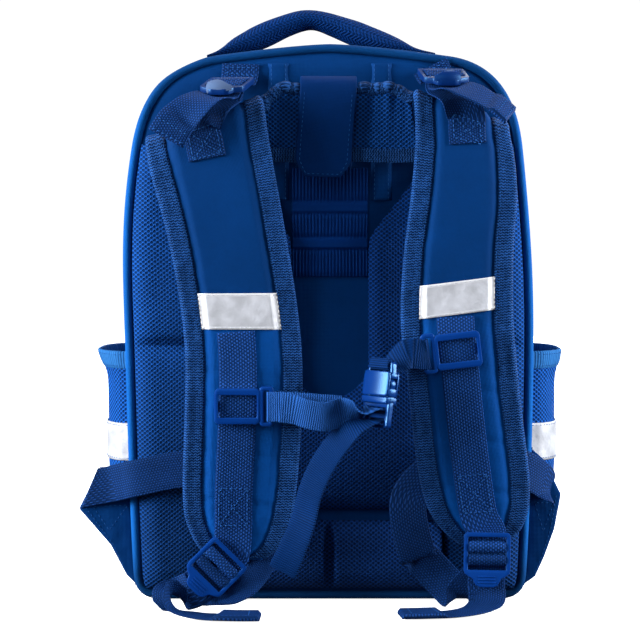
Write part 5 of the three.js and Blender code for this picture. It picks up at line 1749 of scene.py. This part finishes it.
def buckle_female():
    shell_rows = [(-1, 12.6), (0.4, 13.5), (6, 13.5), (12, 13.5), (14.2, 13), (15.2, 12.4)]
    shares = (-1, -0.8, -0.55, -0.2, 0.2, 0.55, 0.8, 1)
    lids = [pierced(shares, shell_rows, solid, low, low + 1.8, 0.6) for low in (-4.4, 2.6)]
    for vert in lids[1].verts:
        vert.co.z += 1.6 * (1 - (vert.co.x / 13.5) ** 2)
    rails = []
    for s in (-1, 1):
        for start, end in ((-1, 4), (11, 14)):
            low, high = sorted((s * 11.4, s * 13.4))
            rails.append(block((low, start, -3), (high, end, 3), 0.3))
    end_rows = [(12, 13), (14.8, 12.8), (18.6, 12.2), (20.6, 12), (22, 10.8)]
    bar = pierced((-1, -0.84, 0.84, 1), end_rows, lambda i, j: i == 1 and j == 1, -2.2, 2.2, 0.6)
    return join([*lids, *rails, bar])


def buckle_male():
    base_rows = [
        (-22, 11.8), (-20.4, 13.4), (-20, 13.5), (-15.6, 13.5), (-12.6, 13.5), (-8.4, 13.5),
        (-1.3, 13.5),
    ]
    slots = (-1, -0.785, 0.785, 1)
    base = pierced(slots, base_rows, lambda i, j: i == 1 and j in (2, 4), -2, 2, 0.6)
    collar = block((-13.5, -6, -4.4), (13.5, -1.3, 4.4), 0.9, 3)
    prong_rows = [(-4, 2), (2, 2), (6, 2.4), (9, 2.2), (11, 1.2)]
    prongs = []
    for s in (-1, 1):
        bow = pierced((-1, 1), prong_rows, solid, -2.1, 2.1, 0.5)
        for vert in bow.verts:
            vert.co.x += s * (9 + 2.4 * bell(vert.co.y - 7, 4))
        prongs.append(bow)
    tongue = block((-2, -4, -2.1), (2, 9, 2.1), 0.5)
    return join([base, collar, *prongs, tongue])


for node, bm in (("chest_buckle_female", buckle_female()), ("chest_buckle_male", buckle_male())):
    piece(node, bm, [BUCKLE_LOOK], [node], 40, seated(BUCKLE))


def at_slider(name, across, out):
    seat = SLIDER_SEATS[name]
    return (*(seat.middle + seat.b * across + seat.c * out), *seat.a)


def in_buckle(along, out, turn=1):
    return (*(BUCKLE.middle + BUCKLE.a * along + BUCKLE.c * out), *(BUCKLE.b * turn))


ELASTIC_ROWS = [
    at_slider("left", 30, -1), at_slider("left", 23, -1), at_slider("left", 20.5, -0.8),
    at_slider("left", 19.8, 1.7), at_slider("left", 20.3, 4.4), at_slider("left", 23, 4.8),
    (-24, -64, 138, 0, 0, 1), (-6, -65.4, 137, 0, 0, 1), (8, -66.4, 136, 0, 0, 1),
]
elastic_bm = band(ELASTIC_ROWS, CHEST_WIDTH, 1)
# Painted light on the elastic, as on the chest webbing
piece("chest_left_elastic", elastic_bm, [CHEST_LIT_LOOK], ["chest_left_elastic"])

CHEST_ROWS = [
    (-33, -66.4, 138, 0, 0, 1), (-24, -68, 137, 0, -0.1, 1), (-14, -72, 134, 0, -0.2, 1),
    (-3, -72.5, 132.5, 0, -0.2, 1), (7, -68.6, 135, 0.1, -0.1, 1),
    (15, -69.6, 136, 0.35, -0.6, 0.7), (21, -71.4, 136.2, 0.55, -0.8, 0.1),
    in_buckle(-9.9, 5), in_buckle(-10.3, 0.6), in_buckle(-11.4, -2.6), in_buckle(-14.1, -3.7),
    in_buckle(-16.8, -2.6), in_buckle(-17.9, 0.6), in_buckle(-18.6, 4.8),
    (15, -74, 125, 0.6, -0.75, -0.25), (5, -70, 115, 0.66, -0.66, -0.3),
    (-5, -65, 100, 0.72, -0.6, -0.25), (-13, -61.4, 82, 0.74, -0.6, -0.2),
    (-18, -59.4, 62, 0.76, -0.58, -0.2), (-25, -57, 43, 0.84, -0.42, -0.25),
    (-32, -54, 27, 0.92, -0.25, -0.2),
]
# Painted light on the first half of the left chest webbing, painted shade on its tail
chest_bm = band(CHEST_ROWS, CHEST_WIDTH, WEBBING, 8, tone=lambda u, v: 0 if v < 0.5 else 1)
chest_lit_and_shaded_looks = [CHEST_LIT_LOOK, CHEST_SHADED_LOOK]
piece("chest_left_webbing", chest_bm, chest_lit_and_shaded_looks, ["chest_left_webbing"])

CHEST_RIGHT_ROWS = [
    at_slider("right", -30, -1.1), at_slider("right", -23, -1.1), at_slider("right", -20.4, -0.8),
    at_slider("right", -19.6, 1.7), at_slider("right", -20.4, 4.2), at_slider("right", -23, 4.6),
    (52, -63.4, 173.5, -0.1, 0.1, 1), (45, -61.4, 169, -0.4, 0.6, 0.7),
    (40, -61.6, 165, -0.58, 0.8, 0.15), in_buckle(16.8, -0.6, -1), in_buckle(17.2, 2.6, -1),
    in_buckle(20.2, 3.6, -1), in_buckle(23.6, 2.4, -1),
]
right_bm = band(CHEST_RIGHT_ROWS, CHEST_WIDTH, WEBBING, 8)
# Painted shade on the twisted right chest webbing
piece("chest_right_webbing", right_bm, [CHEST_SHADED_LOOK], ["chest_right_webbing"])

# Side pockets: height and outward bulge of the mesh, of the hem and of the silver band
POCKET = {"near": 0.07, "far": 0.84, "wall": 1.4, "tuck": -2.2, "gathers": 13}
POCKET_ROWS = [
    (20, 1.5), (30, 8), (50, 13), (90, 15), (122, 14), (148, 13.4), (157, 15), (159.4, 15.6),
]
HEM_SECTION = [
    (157.4, 1), (158, 1.9), (161, 2.2), (164, 2.2), (167, 2.2), (169.2, 1.9), (170, 1),
    (169.2, 0.1), (164, -0.1), (158, 0.1),
]
HEM_BULGE = [(157.4, 15), (163, 17.4), (170, 19.5)]
BAND_ROWS = [(94, 15), (108, 14.6), (120, 14.1)]


def pocket_spot(side, z, bulge, out, u):
    point = Vector((half_width(z) - 1, z))
    fuller = 1 + 0.2 * ease((175 - z) / 25) if side > 0 else 1
    swell = fuller * bulge * (1 - (2 * u - 1) ** 4)
    depth = mix(POCKET["near"], POCKET["far"], u)
    free = ease(min(u, 1 - u) / 0.045)
    p = on_side(point, Vector((0, 1)), depth, mix(POCKET["tuck"], 2 * GAP + swell + out, free))
    return Vector((side * p.x, p.y, z))


def gathers(u):
    """Uneven gathers along a pocket's mouth."""
    turn = 2 * math.pi * u * POCKET["gathers"]
    return math.sin(turn) + 0.5 * math.sin(turn * 1.7 + 1.3)


def pocket(name, side):
    away = lambda p: Vector((side, 0, 0))
    node = "pocket_" + name

    def cloth(u, v):
        z, bulge = between(POCKET_ROWS, v)
        pull = gathers(u) * 0.55 * ease((z - 105) / 50) * math.sin(math.pi * u)
        return pocket_spot(side, z, bulge, POCKET["wall"] + pull, u)

    bm = surface(72, 60, cloth, facing=away)
    walled(piece(node, bm, [POCKET_LOOK], [node]), POCKET["wall"] - 0.2)

    def hem_spot(z, out, u):
        pull = gathers(u) * 0.6 * math.sin(math.pi * u)
        return pocket_spot(side, z, straight(HEM_BULGE, z), out + pull, u)

    def hem(u, v):
        z, out = HEM_SECTION[round(v * len(HEM_SECTION)) % len(HEM_SECTION)]
        return hem_spot(z, out, u)

    hem_bm = surface(96, len(HEM_SECTION), hem, ring=True, capped=True)
    piece(node + "_hem", hem_bm, [ELASTIC_LOOK], [node + "_hem"])

    def film(u, v):
        z = mix(BAND_ROWS[0][0], BAND_ROWS[-1][0], v)
        pull = slack(Vector((u * 40, v * 3, side * 9)), 3, 0.5)
        return pocket_spot(side, z, straight(BAND_ROWS, z), POCKET["wall"] + GAP + 0.9 + pull, u)

    film_bm = surface(60, 14, film, facing=away)
    made = piece(node + "_reflector", film_bm, [POCKET_FILM_LOOK], [node + "_reflector"])
    walled(made, FILM)
    proud = Vector((side * 0.15, 0, 0))
    runs = [sampled(40, lambda u: film(u, v) + proud) for v in (0.06, 0.94)]
    for z in (159.5, 167.5):
        runs.append(sampled(60, lambda u: hem_spot(z, 2.3, u), 0.03, 0.97))
    stitches(node + "_stitching", runs)


pocket("left", -1)
pocket("right", 1)

# Top-stitching of the body
body_runs = []
for share in (0.03, ZIP["back"] - 0.018, ZIP["front"] + 0.018, 0.97):
    line = []
    for k in range(3, ARCH_STEPS - 2):
        point, way = walk(ARCH_CLOTH, k / ARCH_STEPS)
        line.append(on_side(point, way, share, 0.15))
    body_runs.append(line)
FRONT_SEAM = 0.93
front_line = []
for k in range(len(FRONT_EDGE) + 1):
    point, _ = walk(FRONT_EDGE, (k % len(FRONT_EDGE)) / len(FRONT_EDGE), True)
    middle = Vector((0, clamp(point.y, *FRONT_MIDDLE)))
    front_line.append(front_skin(middle.lerp(point, FRONT_SEAM), FRONT_SEAM, CLOTH + 0.15))
body_runs.append(front_line)
stitches("body_stitching", body_runs)

# Floor, world and lights
floor_bm = bmesh.new()
bmesh.ops.create_grid(floor_bm, x_segments=1, y_segments=1, size=12)
floor_mesh = bpy.data.meshes.new("studio_floor")
floor_bm.to_mesh(floor_mesh)
floor_bm.free()
floor = bpy.data.objects.new("studio_floor", floor_mesh)
floor.location.z = -0.0008
floor.visible_diffuse = False
floor.visible_glossy = False
paper = Finish("studio_paper", {
    "Base Color": (0.9, 0.9, 0.9, 1), "Roughness": 0.9, "Specular IOR Level": 0.0,
    "Emission Color": (1, 1, 1, 1), "Emission Strength": 0.92,
})
floor_mesh.materials.append(paper.material)
bpy.context.scene.collection.objects.link(floor)

WHITE_AIR = 1.05
SOFT_AIR = 0.14
world = bpy.data.worlds.new("studio_air")
world.use_nodes = True
air = world.node_tree
rays = air.nodes.new("ShaderNodeLightPath")
strength = air.nodes.new("ShaderNodeMapRange")
strength.inputs["To Min"].default_value = SOFT_AIR
strength.inputs["To Max"].default_value = WHITE_AIR
air.links.new(rays.outputs["Is Camera Ray"], strength.inputs["Value"])
air.nodes["Background"].inputs["Color"].default_value = (1, 1, 1, 1)
air.links.new(strength.outputs[0], air.nodes["Background"].inputs["Strength"])
bpy.context.scene.world = world


def soft_light(name, place, aim, size, power):
    data = bpy.data.lights.new(name, "AREA")
    data.size = size
    data.energy = power
    lamp = bpy.data.objects.new(name, data)
    lamp.location = place
    lamp.visible_camera = False
    lamp.rotation_euler = (Vector(aim) - Vector(place)).to_track_quat("-Z", "Y").to_euler()
    bpy.context.scene.collection.objects.link(lamp)


soft_light("side_left", (-2.0, -0.55, 0.7), (0, -0.02, 0.2), 1.1, 138)
soft_light("side_right", (2.0, -0.3, 0.7), (0, 0, 0.2), 1.1, 108)
soft_light("front_soft", (-0.7, -2.6, 1.3), (0, 0, 0.2), 1.6, 15)
soft_light("top_back", (0.1, 0.6, 2.0), (0, 0, 0.2), 1.2, 22)
soft_light("back_soft", (0.9, 2.5, 0.8), (0, 0, 0.2), 1.6, 34)
bpy.context.scene.view_settings.view_transform = "Standard"
